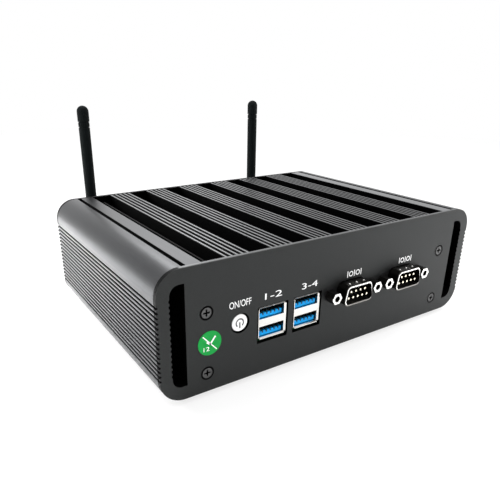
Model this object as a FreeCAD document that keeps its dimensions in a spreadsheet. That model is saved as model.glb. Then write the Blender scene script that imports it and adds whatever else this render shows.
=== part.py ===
import FreeCAD, Part

import math
import os
import re

import Sketcher

# A fanless point of sale computer: a finned aluminium housing closed by two end
# panels and a bottom cover, ports at the front and rear, and two hinged antennas.
# Millimetres. +Z is up, the ports with the power button face -Y, and the origin is
# the centre of the whole outline at the level of the surface under the feet.

Vector = FreeCAD.Vector
Rotation = FreeCAD.Rotation

doc = FreeCAD.newDocument("PosComputer")
sheet = doc.addObject("Spreadsheet::Sheet", "Sizes")

# Each size is written once here. Lengths are in millimetres.
SIZES = [
    # Housing outline
    ("body_width", 175.7),
    ("body_height", 54.1),
    ("body_depth", 122.8),
    ("top_corner", 10.0),
    ("bottom_corner", 10.6),
    ("panel_thickness", 2.0),
    # Cooling fins on top
    ("channel_count", 7),
    ("channel_depth", 10.0),
    ("fins_in_group", 5),
    ("fin_thickness", 1.4),
    ("fin_gap", 1.05),
    ("fin_gap_depth", 6.0),
    ("low_rib_thickness", 0.8),
    ("low_rib_drop", 2.6),
    ("side_land", 19.4),
    ("edge_strip", 6.1),
    ("edge_groove", 2.0),
    ("edge_groove_depth", 2.4),
    ("base_thickness", 4.0),
    # Fine ribs down both sides
    ("rib_count", 16),
    ("rib_pitch", 2.0),
    ("rib_groove_mouth", 1.1),
    ("rib_groove_floor", 0.5),
    ("rib_groove_depth", 0.7),
    ("rib_top", 41.1),
    # Air ducts along both sides, and their slots in the end panels
    ("slot_inset", 5.25),
    ("slot_width", 6.1),
    ("slot_bottom", 5.9),
    ("slot_top", 48.2),
    ("slot_corner", 4.0),
    ("scallop_count", 15),
    ("scallop_pitch", 2.2),
    ("scallop_width", 1.1),
    ("scallop_depth", 0.35),
    ("duct_margin", 0.4),
    ("partition", 3.3),
    # End panel screws and the bosses that take them
    ("screw_inset", 20.25),
    ("upper_screw_height", 34.3),
    ("lower_screw_height", 8.3),
    ("boss_radius", 3.7),
    ("screw_radius", 1.45),
    ("screw_head_radius", 2.6),
    ("screw_head_height", 1.3),
    ("screw_head_sink", 0.1),
    ("screw_length", 9.0),
    ("screw_play", 0.1),
    ("countersink_radius", 3.0),
    ("cross_length", 2.9),
    ("cross_width", 0.75),
    ("cross_depth", 0.9),
    # Bottom cover, its screws and the feet
    ("cover_thickness", 2.0),
    ("cover_lap", 1.6),
    ("cover_play", 0.2),
    ("cover_screw_pitch", 40.0),
    ("foot_radius", 6.0),
    ("foot_height", 2.5),
    ("foot_inset", 14.0),
    ("foot_across", 116.0),
    # Main board and what stands on it
    ("board_top", 14.9),
    ("board_thickness", 1.6),
    ("board_side_gap", 1.9),
    ("board_gap", 1.0),
    ("standoff_radius", 2.75),
    ("standoff_edge", 3.5),
    ("standoff_inset", 25.0),
    ("board_screw_head_radius", 2.7),
    ("board_screw_head_height", 1.8),
    ("board_screw_length", 6.0),
    ("processor_size", 25.0),
    ("processor_height", 1.2),
    ("processor_from_front", 62.0),
    ("block_size", 40.0),
    ("block_foot_size", 24.0),
    ("block_foot_height", 4.0),
    ("block_post_radius", 3.0),
    ("block_post_offset", 15.5),
    ("memory_width", 30.0),
    ("memory_length", 67.6),
    ("memory_thickness", 1.2),
    ("memory_lift", 2.6),
    ("memory_from_front", 28.0),
    ("memory_side", 25.5),
    ("card_thickness", 1.0),
    ("card_lift", 3.2),
    ("card_bite", 1.6),
    ("socket_height", 5.0),
    ("drive_width", 29.8),
    ("drive_length", 50.8),
    ("drive_from_front", 24.0),
    ("drive_side", 24.0),
    ("radio_width", 30.0),
    ("radio_length", 22.0),
    ("radio_gap", 2.0),
    ("chip_thickness", 1.0),
    ("cell_radius", 10.0),
    ("cell_thickness", 3.2),
    ("cell_holder_height", 2.0),
    ("cell_rim", 1.0),
    ("cell_side", 2.0),
    ("cell_from_front", 31.0),
    # Power button and its switch
    ("button_side", 52.6),
    ("button_height", 26.1),
    ("button_radius", 3.75),
    ("button_gap", 0.65),
    ("button_recess", 0.2),
    ("button_bevel", 0.35),
    ("button_flange", 1.1),
    ("button_flange_thickness", 1.0),
    ("button_flange_gap", 0.3),
    ("button_travel", 0.8),
    ("stem_radius", 1.5),
    ("stem_play", 0.3),
    ("switch_width", 8.0),
    ("switch_depth", 7.0),
    ("switch_back", 5.0),
    # Double USB sockets
    ("usb_left", 36.4),
    ("usb_pitch", 18.3),
    ("usb_sheet", 0.3),
    ("usb_depth", 17.0),
    ("usb_recess", 0.8),
    ("usb_opening_width", 12.5),
    ("usb_opening_height", 4.75),
    ("usb_floor", 1.4),
    ("usb_bridge", 3.4),
    ("usb_cavity", 9.5),
    ("usb_lip_flare", 0.45),
    ("usb_lip_reach", 0.5),
    ("usb_undercut", 3.0),
    ("usb_side_margin", 0.75),
    ("usb_upper_margin", 0.4),
    ("usb_lower_margin", 1.4),
    ("tongue_width", 11.1),
    ("tongue_thickness", 1.9),
    ("tongue_recess", 0.8),
    ("tongue_lift", 0.25),
    ("contact_count", 5),
    ("contact_pitch", 2.0),
    ("contact_width", 0.8),
    ("contact_depth", 0.3),
    ("contact_length", 6.0),
    # Nine pin serial ports and the fifteen hole monitor port
    ("serial_left", 6.9),
    ("serial_pitch", 32.7),
    ("serial_height", 26.9),
    ("shell_width", 18.0),
    ("shell_height", 9.4),
    ("shell_corner", 2.5),
    ("shell_slope", 10.0),
    ("shell_reach", 5.8),
    ("shell_wall", 0.8),
    ("shell_rim_round", 0.45),
    ("shell_bump_radius", 0.65),
    ("shell_bump_rise", 0.3),
    ("shell_bump_pitch", 4.3),
    ("shell_bump_reach", 3.2),
    ("shell_fit", 0.05),
    ("flange_width", 30.8),
    ("flange_height", 12.5),
    ("flange_thickness", 0.8),
    ("insulator_recess", 5.4),
    ("port_block_width", 20.0),
    ("port_block_depth", 10.0),
    ("pin_pitch", 2.77),
    ("pin_rows", 2.84),
    ("pin_radius", 0.5),
    ("pin_reach", 4.8),
    ("jackscrew_spacing", 25.0),
    ("jackscrew_reach", 5.0),
    ("jackscrew_radius", 2.75),
    ("jackscrew_bore", 1.42),
    ("jackscrew_bore_depth", 4.5),
    ("jackscrew_stud_radius", 1.4),
    ("jackscrew_stud", 4.8),
    ("stud_play", 0.3),
    ("monitor_side", 6.0),
    ("monitor_height", 24.0),
    ("monitor_face_recess", 0.2),
    ("monitor_hole_radius", 0.55),
    ("monitor_hole_pitch", 2.29),
    ("monitor_hole_rows", 1.98),
    ("monitor_hole_depth", 4.0),
    ("monitor_fit", 0.8),
    # Rear ports
    ("cutout_play", 0.4),
    ("inlet_side", 50.0),
    ("inlet_height", 21.4),
    ("inlet_width", 9.0),
    ("inlet_depth", 12.0),
    ("inlet_nose_radius", 4.0),
    ("inlet_bore", 3.2),
    ("inlet_bore_depth", 10.0),
    ("inlet_pin_radius", 1.05),
    ("inlet_pin_recess", 1.0),
    ("video_side", 33.0),
    ("video_width", 15.2),
    ("video_height", 6.6),
    ("video_step", 2.2),
    ("video_wall", 0.5),
    ("video_depth", 12.0),
    ("video_recess", 0.4),
    ("video_tongue_width", 11.0),
    ("video_tongue_thickness", 1.5),
    ("network_side", 20.5),
    ("network_width", 16.0),
    ("network_height", 13.4),
    ("network_depth", 16.0),
    ("network_recess", 0.3),
    ("network_opening_width", 11.9),
    ("network_opening_height", 8.4),
    ("network_opening_lift", 2.9),
    ("network_cavity", 12.0),
    ("network_key_width", 6.2),
    ("network_key_height", 1.6),
    ("network_contact_count", 8),
    ("network_contact_pitch", 1.1),
    ("network_contact_size", 0.5),
    ("network_contact_length", 7.0),
    ("audio_side", 34.4),
    ("audio_low", 18.9),
    ("audio_rise", 10.4),
    ("audio_width", 8.0),
    ("audio_depth", 13.0),
    ("audio_nose_radius", 3.0),
    ("audio_nose_reach", 0.6),
    ("audio_bore", 1.8),
    ("audio_bore_depth", 12.0),
    ("rear_usb_inset", 29.05),
    # Antennas
    ("antenna_left_inset", 23.65),
    ("antenna_right_inset", 41.55),
    ("antenna_height", 21.4),
    ("jack_radius", 3.1),
    ("jack_reach", 8.0),
    ("jack_shoulder_radius", 4.2),
    ("jack_shoulder", 2.0),
    ("jack_back", 9.0),
    ("jack_play", 0.2),
    ("nut_radius", 4.6),
    ("nut_thickness", 2.0),
    ("elbow_gap", 0.5),
    ("elbow_radius", 4.7),
    ("elbow_fit", 0.1),
    ("elbow_end", 1.6),
    ("hinge_reach", 13.2),
    ("hinge_radius", 3.8),
    ("ear_thickness", 1.7),
    ("ear_gap", 4.4),
    ("hinge_pin_radius", 1.0),
    ("hinge_pin_fit", 0.05),
    ("hinge_side_play", 0.2),
    ("hinge_round_play", 0.4),
    ("whip_height", 78.6),
    ("whip_radius", 2.95),
    ("whip_foot_radius", 3.75),
    ("whip_taper_start", 12.0),
    ("whip_taper_end", 26.0),
    ("whip_cap_radius", 3.1),
    ("whip_cap_length", 8.2),
    ("whip_ring_gap", 0.5),
    ("whip_ring_width", 2.2),
    ("whip_ring_depth", 0.4),
    # Inspection sticker
    ("sticker_side", 66.5),
    ("sticker_height", 21.4),
    ("sticker_radius", 5.15),
    ("sticker_thickness", 0.15),
]

for row, (alias, size) in enumerate(SIZES, start=1):
    sheet.set("A%d" % row, alias)
    sheet.set("B%d" % row, str(size))
    sheet.setAlias("B%d" % row, alias)
doc.recompute()

SIZE_NAME = re.compile(r"\b(" + "|".join(sorted((alias for alias, _ in SIZES), key=len, reverse=True)) + r")\b")

# The panels' outer faces lie at y 0 and at body_depth while a piece is drawn. The
# finished pieces are then shifted so that the whole outline is centred on the origin.
antenna_reach = "(hinge_reach + hinge_radius)"
front_shift = "(shell_reach - body_depth - %s) / 2" % antenna_reach
half_width = "body_width / 2"
group_width = "(fins_in_group * fin_thickness + (fins_in_group - 1) * fin_gap)"
outer_fin = "(%s - side_land)" % half_width
channel_width = "((2 * %s - (channel_count - 1) * %s) / channel_count)" % (outer_fin, group_width)
group_pitch = "(%s + %s)" % (channel_width, group_width)
screw_side = "(%s - screw_inset)" % half_width
board_half = "(%s - boss_radius - board_side_gap)" % screw_side
cavity_top = "(body_height - channel_depth - base_thickness)"
duct_inner = "(%s - slot_inset - slot_width - duct_margin)" % half_width
cavity_side = "(%s - partition)" % duct_inner
board_bottom = "(board_top - board_thickness)"
rear_usb_side = "(%s - rear_usb_inset)" % half_width
usb_half_opening = "(usb_opening_width / 2)"
usb_roof = "(usb_floor + 2 * usb_opening_height + usb_bridge)"
usb_lip = "(usb_lip_flare + usb_sheet)"


def bound(text):
    """The expression with each size pointed at its cell of the sheet."""
    return SIZE_NAME.sub(r"Sizes.\1", str(text))


def value(text):
    """What an expression comes to now."""
    return float(sheet.evalExpression(bound(text)))


def count(text):
    """A number of copies."""
    return int(round(value(text)))


def less(first, second):
    """The expression for first minus second."""
    return "(%s) - (%s)" % (first, second)


def opposite(text):
    """The expression with its sign turned."""
    return "-(%s)" % text


# Finished pieces

pieces = []


def finish(piece, label, x="0", y="0", z="0", turned=False):
    """Name a finished piece and stand it in the frame, turned to face the rear if asked."""
    piece.Label = label
    if turned:
        piece.Placement = FreeCAD.Placement(Vector(), Rotation(Vector(0, 0, 1), 180))
    piece.setExpression("Placement.Base.x", bound(x))
    piece.setExpression("Placement.Base.y", bound("%s + %s" % (front_shift, y)))
    piece.setExpression("Placement.Base.z", bound("foot_height + %s" % z))
    pieces.append(piece)
    return piece


# Solids with sizes from the sheet

ALONG = {
    "x": Rotation(Vector(0, 1, 0), 90),
    "y": Rotation(Vector(1, 0, 0), -90),
    "z": Rotation(),
}


def stand(solid, x, y, z):
    """Place a solid's own origin."""
    for letter, text in zip("xyz", (x, y, z)):
        solid.setExpression("Placement.Base.%s" % letter, bound(text))
    return solid


def box(x, y, z):
    """A block between two expressions on each axis."""
    solid = doc.addObject("Part::Box", "Block")
    for name, (low, high) in zip(("Length", "Width", "Height"), (x, y, z)):
        solid.setExpression(name, bound(less(high, low)))
    return stand(solid, x[0], y[0], z[0])


def round_solid(kind, axis, start, end, across):
    """A cylinder, cone or prism along an axis, centred on the two other coordinates."""
    solid = doc.addObject(kind, "Round")
    solid.Placement = FreeCAD.Placement(Vector(), ALONG[axis])
    solid.setExpression("Height", bound(less(end, start)))
    corner = list(across)
    corner.insert("xyz".index(axis), start)
    return stand(solid, *corner)


def cylinder(radius, axis, start, end, across=("0", "0")):
    solid = round_solid("Part::Cylinder", axis, start, end, across)
    solid.setExpression("Radius", bound(radius))
    return solid


def cone(first, last, axis, start, end, across=("0", "0")):
    solid = round_solid("Part::Cone", axis, start, end, across)
    solid.setExpression("Radius1", bound(first))
    solid.setExpression("Radius2", bound(last))
    return solid


def hexagon(radius, axis, start, end, across=("0", "0")):
    solid = round_solid("Part::Prism", axis, start, end, across)
    solid.Polygon = 6
    solid.setExpression("Circumradius", bound(radius))
    return solid


def fuse(solids):
    joined = doc.addObject("Part::MultiFuse", "Joined")
    joined.Shapes = solids
    return joined


def cut(base, tools):
    remainder = doc.addObject("Part::Cut", "Remainder")
    remainder.Base = base
    remainder.Tool = tools[0] if len(tools) == 1 else fuse(tools)
    return remainder


def group(solids):
    """Separate solids that share a node."""
    together = doc.addObject("Part::Compound", "Group")
    together.Links = solids
    return together


# Sketched bodies

def origin_feature(body, role):
    return [feature for feature in body.Origin.OriginFeatures if feature.Role == role][0]


def sketch(body, name, plane="XZ_Plane", at="0"):
    """A sketch on a plane of the body's origin. On XZ, at is the sketch's y."""
    drawing = body.newObject("Sketcher::SketchObject", name)
    drawing.AttachmentSupport = [(origin_feature(body, plane), "")]
    drawing.MapMode = "FlatFace"
    offset = opposite(at) if plane == "XZ_Plane" else at
    drawing.setExpression("AttachmentOffset.Base.z", bound(offset))
    return drawing


def hold(drawing, joints, sizes):
    """Add plain constraints, then ones that each follow an expression."""
    constraints = [Sketcher.Constraint(kind, *places, value(text)) for kind, places, text in sizes]
    first = drawing.ConstraintCount + len(joints)
    drawing.addConstraint(joints + constraints)
    for index, (kind, places, text) in enumerate(sizes, start=first):
        drawing.setExpression("Constraints[%d]" % index, bound(text))


def arc_between(start, end, radius, turn):
    """The short arc from start to end, turning left for 1 and right for -1."""
    chord = end - start
    normal = Vector(-chord.y, chord.x, 0).normalize()
    rise = math.sqrt(max(radius ** 2 - chord.Length ** 2 / 4, 0))
    centre = start + chord / 2 + normal * rise * turn
    return Part.Arc(start, centre - normal * radius * turn, end)


def outline(drawing, corners):
    """A closed outline. A corner with a radius, and a turn, starts an arc."""
    points = [Vector(value(corner[0]), value(corner[1]), 0) for corner in corners]
    ends = []
    for index, corner in enumerate(corners):
        start = points[index]
        end = points[(index + 1) % len(points)]
        if len(corner) > 2:
            turn = corner[3] if len(corner) > 3 else 1
            edge = drawing.addGeometry(arc_between(start, end, value(corner[2]), turn), False)
            ends.append((edge, 1, 2) if turn > 0 else (edge, 2, 1))
        else:
            edge = drawing.addGeometry(Part.LineSegment(start, end), False)
            ends.append((edge, 1, 2))
    joints = []
    sizes = []
    for index, (edge, start, end) in enumerate(ends):
        following = ends[(index + 1) % len(ends)]
        joints.append(Sketcher.Constraint("Coincident", edge, end, following[0], following[1]))
        sizes.append(("DistanceX", (-1, 1, edge, start), corners[index][0]))
        sizes.append(("DistanceY", (-1, 1, edge, start), corners[index][1]))
        if len(corners[index]) > 2:
            sizes.append(("Radius", (edge,), corners[index][2]))
    hold(drawing, joints, sizes)


def rectangle(drawing, x, z):
    """A rectangle between two expressions each way."""
    outline(drawing, [(x[0], z[0]), (x[1], z[0]), (x[1], z[1]), (x[0], z[1])])


def circle(drawing, radius, x="0", z="0"):
    edge = drawing.addGeometry(Part.Circle(Vector(value(x), value(z), 0), Vector(0, 0, 1), value(radius)), False)
    hold(drawing, [], [
        ("Radius", (edge,), radius),
        ("DistanceX", (-1, 1, edge, 3), x),
        ("DistanceY", (-1, 1, edge, 3), z),
    ])


def pad(body, drawing, length):
    """Material from the sketch, towards +Y on XZ and +Z on XY."""
    feature = body.newObject("PartDesign::Pad", drawing.Name + "Pad")
    feature.Profile = drawing
    feature.Reversed = drawing.AttachmentSupport[0][0].Role == "XZ_Plane"
    feature.setExpression("Length", bound(length))
    doc.recompute()
    return feature


def pocket(body, drawing, length=None):
    """A cut from the sketch towards +Y, right through unless a length is given."""
    before = body.Shape.Volume
    feature = body.newObject("PartDesign::Pocket", drawing.Name + "Pocket")
    feature.Profile = drawing
    if length is None:
        feature.Type = "ThroughAll"
    else:
        feature.setExpression("Length", bound(length))
    doc.recompute()
    if body.Shape.Volume >= before:
        raise ValueError("%s cuts nothing" % drawing.Name)
    return feature


def repeat(body, feature, axis, pitch, copies, backwards=False):
    """Copies of a feature along an axis of the body."""
    pattern = body.newObject("PartDesign::LinearPattern", feature.Name + "Row")
    pattern.Originals = [feature]
    pattern.Direction = (origin_feature(body, axis), [""])
    pattern.Reversed = backwards
    pattern.setExpression("Length", bound("(%s) * (%s - 1)" % (pitch, copies)))
    pattern.setExpression("Occurrences", bound(copies))
    body.Tip = pattern
    doc.recompute()
    return pattern


def mirrored(x):
    """The same span on the other side of the middle."""
    return (opposite(x[1]), opposite(x[0]))


# Shapes that several pieces share

def body_outline(drawing):
    """The housing's section: a rectangle with large rounded corners."""
    right = half_width
    left = opposite(half_width)
    low = "bottom_corner"
    high = "body_height - top_corner"
    outline(drawing, [
        (less(right, "bottom_corner"), "0", "bottom_corner"),
        (right, low),
        (right, high, "top_corner"),
        (less(right, "top_corner"), "body_height"),
        (less("top_corner", right), "body_height", "top_corner"),
        (left, high),
        (left, low, "bottom_corner"),
        (less("bottom_corner", right), "0"),
    ])


def side_grooves(body, at):
    """The fine grooves that leave ribs down both sides."""
    drawing = sketch(body, "SideGrooves", at=at)
    mouth = "rib_groove_mouth / 2"
    floor = "rib_groove_floor / 2"
    deep = less(half_width, "rib_groove_depth")
    for side in ("", "-"):
        rim = "%s(%s)" % (side, half_width)
        bed = "%s(%s)" % (side, deep)
        outline(drawing, [
            (rim, "rib_top - " + mouth),
            (rim, "rib_top + " + mouth),
            (bed, "rib_top + " + floor),
            (bed, "rib_top - " + floor),
        ])
    grooves = pocket(body, drawing)
    repeat(body, grooves, "Z_Axis", "rib_pitch", "rib_count", backwards=True)


def slot_outline(drawing, grow):
    """Both side slots, straight towards the middle and rounded towards the sides."""
    inner = less(half_width, "slot_inset + slot_width + %s" % grow)
    outer = less(half_width, "slot_inset - %s" % grow)
    low = less("slot_bottom", grow)
    high = "slot_top + %s" % grow
    bend = less(outer, "slot_corner")
    outline(drawing, [
        (inner, low),
        (bend, low, "slot_corner"),
        (outer, low + " + slot_corner"),
        (outer, high + " - slot_corner", "slot_corner"),
        (bend, high),
        (inner, high),
    ])
    outline(drawing, [
        (opposite(inner), high),
        (opposite(bend), high, "slot_corner"),
        (opposite(outer), high + " - slot_corner"),
        (opposite(outer), low + " + slot_corner", "slot_corner"),
        (opposite(bend), low),
        (opposite(inner), low),
    ])


def shell_outline(drawing, grow, x="0", z="0"):
    """The D shape of a serial port, wide side down, with its centre at x and z."""
    width = "(shell_width + 2 * (%s))" % grow
    tall = "(shell_height + 2 * (%s))" % grow
    corner = "(shell_corner + %s)" % grow
    slope = "shell_slope"
    run = "%s * tan(%s)" % (tall, slope)
    wide = "%s / 2" % width
    narrow = less(wide, run)
    low_cut = "%s / tan(45 - %s / 2)" % (corner, slope)
    high_cut = "%s / tan(45 + %s / 2)" % (corner, slope)
    bottom = "-%s / 2" % tall
    top = "%s / 2" % tall
    lean = "sin(%s)" % slope
    rise = "cos(%s)" % slope
    right = [
        (less(wide, low_cut), bottom),
        ("%s - %s * %s" % (wide, low_cut, lean), "%s + %s * %s" % (bottom, low_cut, rise)),
        ("%s + %s * %s" % (narrow, high_cut, lean), "%s - %s * %s" % (top, high_cut, rise)),
        (less(narrow, high_cut), top),
    ]
    left = [(opposite(across), up) for across, up in reversed(right)]
    corners = []
    for index, (across, up) in enumerate(right + left):
        place = ("%s + %s" % (x, across), "%s + %s" % (z, up))
        corners.append(place + (corner,) if index % 2 == 0 else place)
    outline(drawing, corners)


def board_level(height):
    """The board's top seen from a port whose middle is at a height."""
    return less("board_top", height)


def inset_face(text):
    """A distance behind the inner face of a panel."""
    return "panel_thickness + %s" % text


# Housing

def make_housing():
    """The extruded housing, with fins on top, ribs and air ducts at the sides, and
    bosses for the panel screws in the hollow for the board."""
    body = doc.addObject("PartDesign::Body", "Housing")
    front = "panel_thickness"
    length = "body_depth - 2 * panel_thickness"
    section = sketch(body, "Section", at=front)
    body_outline(section)
    pad(body, section, length)

    channel = sketch(body, "Channel", at=front)
    first = "-(channel_count - 1) / 2 * %s" % group_pitch
    half = channel_width + " / 2"
    rectangle(channel, (less(first, half), first + " + " + half),
              ("body_height - channel_depth", "body_height + 1"))
    repeat(body, pocket(body, channel), "X_Axis", group_pitch, "channel_count")

    gaps = sketch(body, "FinGaps", at=front)
    for index in range(count("fins_in_group") - 1):
        edge = "%s + %s + %d * (fin_thickness + fin_gap) + fin_thickness" % (first, half, index)
        rectangle(gaps, (edge, edge + " + fin_gap"), ("body_height - fin_gap_depth", "body_height + 1"))
    repeat(body, pocket(body, gaps), "X_Axis", group_pitch, "channel_count - 1")

    grooves = sketch(body, "EdgeGrooves", at=front)
    span = (outer_fin + " + edge_strip", outer_fin + " + edge_strip + edge_groove")
    for place in (span, mirrored(span)):
        rectangle(grooves, place, ("body_height - edge_groove_depth", "body_height + 1"))
    pocket(body, grooves)

    low_ribs = sketch(body, "LowRibs", at=front)
    span = (opposite(first) + " - low_rib_thickness / 2", opposite(first) + " + low_rib_thickness / 2")
    for place in (span, mirrored(span)):
        rectangle(low_ribs, place, ("body_height - channel_depth - base_thickness / 2", "body_height - low_rib_drop"))
    pad(body, low_ribs, length)

    ducts = sketch(body, "Ducts", at=front)
    slot_outline(ducts, "duct_margin")
    pocket(body, ducts)

    hollow = sketch(body, "Hollow", at=front)
    hollow_outline(hollow)
    pocket(body, hollow)
    side_grooves(body, front)

    for name, place in (("FrontHoles", front), ("RearHoles", "body_depth - panel_thickness - screw_length")):
        holes = sketch(body, name, at=place)
        for x, z in panel_screw_places():
            circle(holes, "screw_radius + screw_play", x, z)
        pocket(body, holes, "screw_length")

    base_holes = sketch(body, "BaseHoles", "XY_Plane", "cover_thickness")
    for x, y in cover_screw_places():
        circle(base_holes, "screw_radius + screw_play", x, y)
    feature = body.newObject("PartDesign::Pocket", "BaseHolesPocket")
    feature.Profile = base_holes
    feature.Reversed = True
    feature.setExpression("Length", bound("screw_length - cover_thickness"))
    doc.recompute()
    finish(body, "housing")


def hollow_outline(drawing):
    """The room for the board, with rounded bosses in its corners and a rebate for
    the bottom cover."""
    nose = less(screw_side, "boss_radius")
    axis = screw_side
    upper = "upper_screw_height"
    lower = "lower_screw_height"
    right = [
        ("%s + cover_lap + cover_play" % cavity_side, "-1"),
        ("%s + cover_lap + cover_play" % cavity_side, "cover_thickness"),
        (nose, "cover_thickness"),
        (nose, lower, "boss_radius", -1),
        (axis, lower + " + boss_radius"),
        (cavity_side, lower + " + boss_radius"),
        (cavity_side, upper + " - boss_radius"),
        (axis, upper + " - boss_radius", "boss_radius", -1),
        (nose, upper, "boss_radius", -1),
        (axis, upper + " + boss_radius"),
        (cavity_side, upper + " + boss_radius"),
        (cavity_side, cavity_top),
    ]
    left = []
    for index in range(len(right) - 1, -1, -1):
        place = (opposite(right[index][0]), right[index][1])
        arc = right[index - 1][2:] if index else ()
        left.append(place + tuple(arc))
    outline(drawing, right + left)


def panel_screw_places():
    return [(side + screw_side, height)
            for side in ("", "-")
            for height in ("upper_screw_height", "lower_screw_height")]


def cover_screw_places():
    return [(side + screw_side, "body_depth / 2 + (%d) * cover_screw_pitch" % step)
            for side in ("", "-")
            for step in (-1, 0, 1)]


# End panels

def end_panel(name, at):
    """A panel with the housing's outline, its ribs and the two scalloped air slots."""
    body = doc.addObject("PartDesign::Body", name)
    section = sketch(body, name + "Section", at=at)
    body_outline(section)
    pad(body, section, "panel_thickness")
    slots = sketch(body, name + "Slots", at=at)
    slot_outline(slots, "0")
    pocket(body, slots)
    scallops = sketch(body, name + "Scallops", at=at)
    rim = less(half_width, "slot_inset")
    span = (rim + " - scallop_width / 2", rim + " + scallop_depth")
    first = "(slot_bottom + slot_top - (scallop_count - 1) * scallop_pitch - scallop_width) / 2"
    for place in (span, mirrored(span)):
        rectangle(scallops, place, (first, first + " + scallop_width"))
    repeat(body, pocket(body, scallops), "Z_Axis", "scallop_pitch", "scallop_count")
    side_grooves(body, at)
    return body


def panel_screw_tools(front):
    """Countersunk holes through a panel, open to the front or to the rear."""
    tools = []
    for place in panel_screw_places():
        start, end = ("0", "panel_thickness") if front else ("body_depth - panel_thickness", "body_depth")
        tools.append(cylinder("screw_radius + screw_play", "y", start, end, place))
        depth = "screw_head_height + 2 * screw_head_sink"
        if front:
            tools.append(cone("countersink_radius", "screw_radius + screw_play", "y", start, depth, place))
        else:
            tools.append(cone("screw_radius + screw_play", "countersink_radius", "y",
                              less(end, depth), end, place))
    return tools


def jackscrew_places(x, z):
    return [("%s %s jackscrew_spacing / 2" % (x, side), z) for side in "+-"]


def make_front_panel():
    body = end_panel("FrontPanel", "0")
    ports = sketch(body, "FrontPorts")
    for x in usb_places():
        rectangle(ports, usb_cutout(x), usb_cutout_height())
    for x in serial_places():
        shell_outline(ports, "cutout_play", x, "serial_height")
        for place in jackscrew_places(x, "serial_height"):
            circle(ports, "jackscrew_stud_radius + stud_play", *place)
    circle(ports, "button_radius + button_gap", "-button_side", "button_height")
    pocket(body, ports)
    finish(cut(body, panel_screw_tools(True)), "front_panel")


def make_rear_panel():
    at = "body_depth - panel_thickness"
    body = end_panel("RearPanel", at)
    ports = sketch(body, "RearPorts", at=at)
    rectangle(ports, usb_cutout(rear_usb_side), usb_cutout_height())
    shell_outline(ports, "cutout_play - monitor_fit", "-monitor_side", "monitor_height")
    for place in jackscrew_places("-monitor_side", "monitor_height"):
        circle(ports, "jackscrew_stud_radius + stud_play", *place)
    circle(ports, "inlet_nose_radius + cutout_play", "-inlet_side", "inlet_height")
    video = "-video_side"
    rectangle(ports, (video + " - video_width / 2 - cutout_play", video + " + video_width / 2 + cutout_play"),
              ("board_top - cutout_play", "board_top + video_height + cutout_play"))
    rectangle(ports, ("network_side - network_width / 2 - cutout_play",
                      "network_side + network_width / 2 + cutout_play"),
              ("board_top - cutout_play", "board_top + network_height + cutout_play"))
    for rise in ("0", "audio_rise"):
        circle(ports, "audio_nose_radius + cutout_play", "audio_side", "audio_low + " + rise)
    for x in antenna_places():
        circle(ports, "jack_radius + jack_play", x, "antenna_height")
    pocket(body, ports)
    finish(cut(body, panel_screw_tools(False)), "rear_panel")


# Screws

def countersunk_screw(axis, start, forwards, across):
    """A screw with its head's face at start, reaching forwards or backwards."""
    def step(text):
        return "%s %s (%s)" % (start, "+" if forwards else "-", text)

    def span(near, far):
        return (step(near), step(far)) if forwards else (step(far), step(near))

    head = span("screw_head_sink", "screw_head_sink + screw_head_height")
    shank = span("screw_head_sink + screw_head_height", "screw_length")
    radii = ("screw_head_radius", "screw_radius") if forwards else ("screw_radius", "screw_head_radius")
    solid = fuse([cone(radii[0], radii[1], axis, head[0], head[1], across),
                  cylinder("screw_radius", axis, shank[0], shank[1], across)])
    recess = span("0", "screw_head_sink + cross_depth")
    tools = []
    for sizes in (("cross_length", "cross_width"), ("cross_width", "cross_length")):
        spans = [("%s - %s / 2" % (middle, size), "%s + %s / 2" % (middle, size))
                 for middle, size in zip(across, sizes)]
        spans.insert("xyz".index(axis), recess)
        tools.append(box(*spans))
    return cut(solid, tools)


def make_screws():
    finish(group([countersunk_screw("y", "0", True, place) for place in panel_screw_places()]),
           "front_panel_screws")
    finish(group([countersunk_screw("y", "body_depth", False, place) for place in panel_screw_places()]),
           "rear_panel_screws")
    finish(group([countersunk_screw("z", "0", True, place) for place in cover_screw_places()]),
           "bottom_cover_screws")


# Bottom

def make_bottom():
    """The bottom cover with its countersunk holes, and the four rubber feet."""
    side = "%s + cover_lap" % cavity_side
    plate = box((opposite(side), side), ("panel_thickness", "body_depth - panel_thickness"),
                ("0", "cover_thickness"))
    tools = []
    for place in cover_screw_places():
        tools.append(cylinder("screw_radius + screw_play", "z", "0", "cover_thickness", place))
        tools.append(cone("countersink_radius", "screw_radius + screw_play", "z", "0",
                          "screw_head_height + 2 * screw_head_sink", place))
    finish(cut(plate, tools), "bottom_cover")
    feet = []
    for side in ("", "-"):
        for y in ("foot_inset", "body_depth - foot_inset"):
            feet.append(cylinder("foot_radius", "z", "-foot_height", "0", (side + "foot_across / 2", y)))
    finish(group(feet), "rubber_feet")


# Main board and the pieces on it

def standoff_places():
    return [("%s(%s - standoff_edge)" % (side, board_half), y)
            for side in ("", "-")
            for y in ("standoff_inset", "body_depth - standoff_inset")]


def block_post_places():
    return [(side + "block_post_offset", "processor_from_front %s block_post_offset" % sign)
            for side in ("", "-")
            for sign in "+-"]


def make_board():
    front = inset_face("board_gap")
    back = "body_depth - panel_thickness - board_gap"
    plate = box((opposite(board_half), board_half), (front, back), (board_bottom, "board_top"))
    holes = [cylinder("screw_radius + screw_play", "z", board_bottom, "board_top", place)
             for place in standoff_places() + block_post_places()]
    finish(cut(plate, holes), "main_board")

    standoffs = []
    screws = []
    for place in standoff_places():
        post = hexagon("standoff_radius", "z", "cover_thickness", board_bottom, place)
        bore = cylinder("screw_radius + screw_play", "z", board_bottom + " - board_screw_length",
                        board_bottom, place)
        standoffs.append(cut(post, [bore]))
        screws.append(pan_screw(place, "board_top", board_bottom + " - board_screw_length", True))
    finish(group(standoffs), "board_standoffs")
    finish(group(screws), "board_screws")


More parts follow.
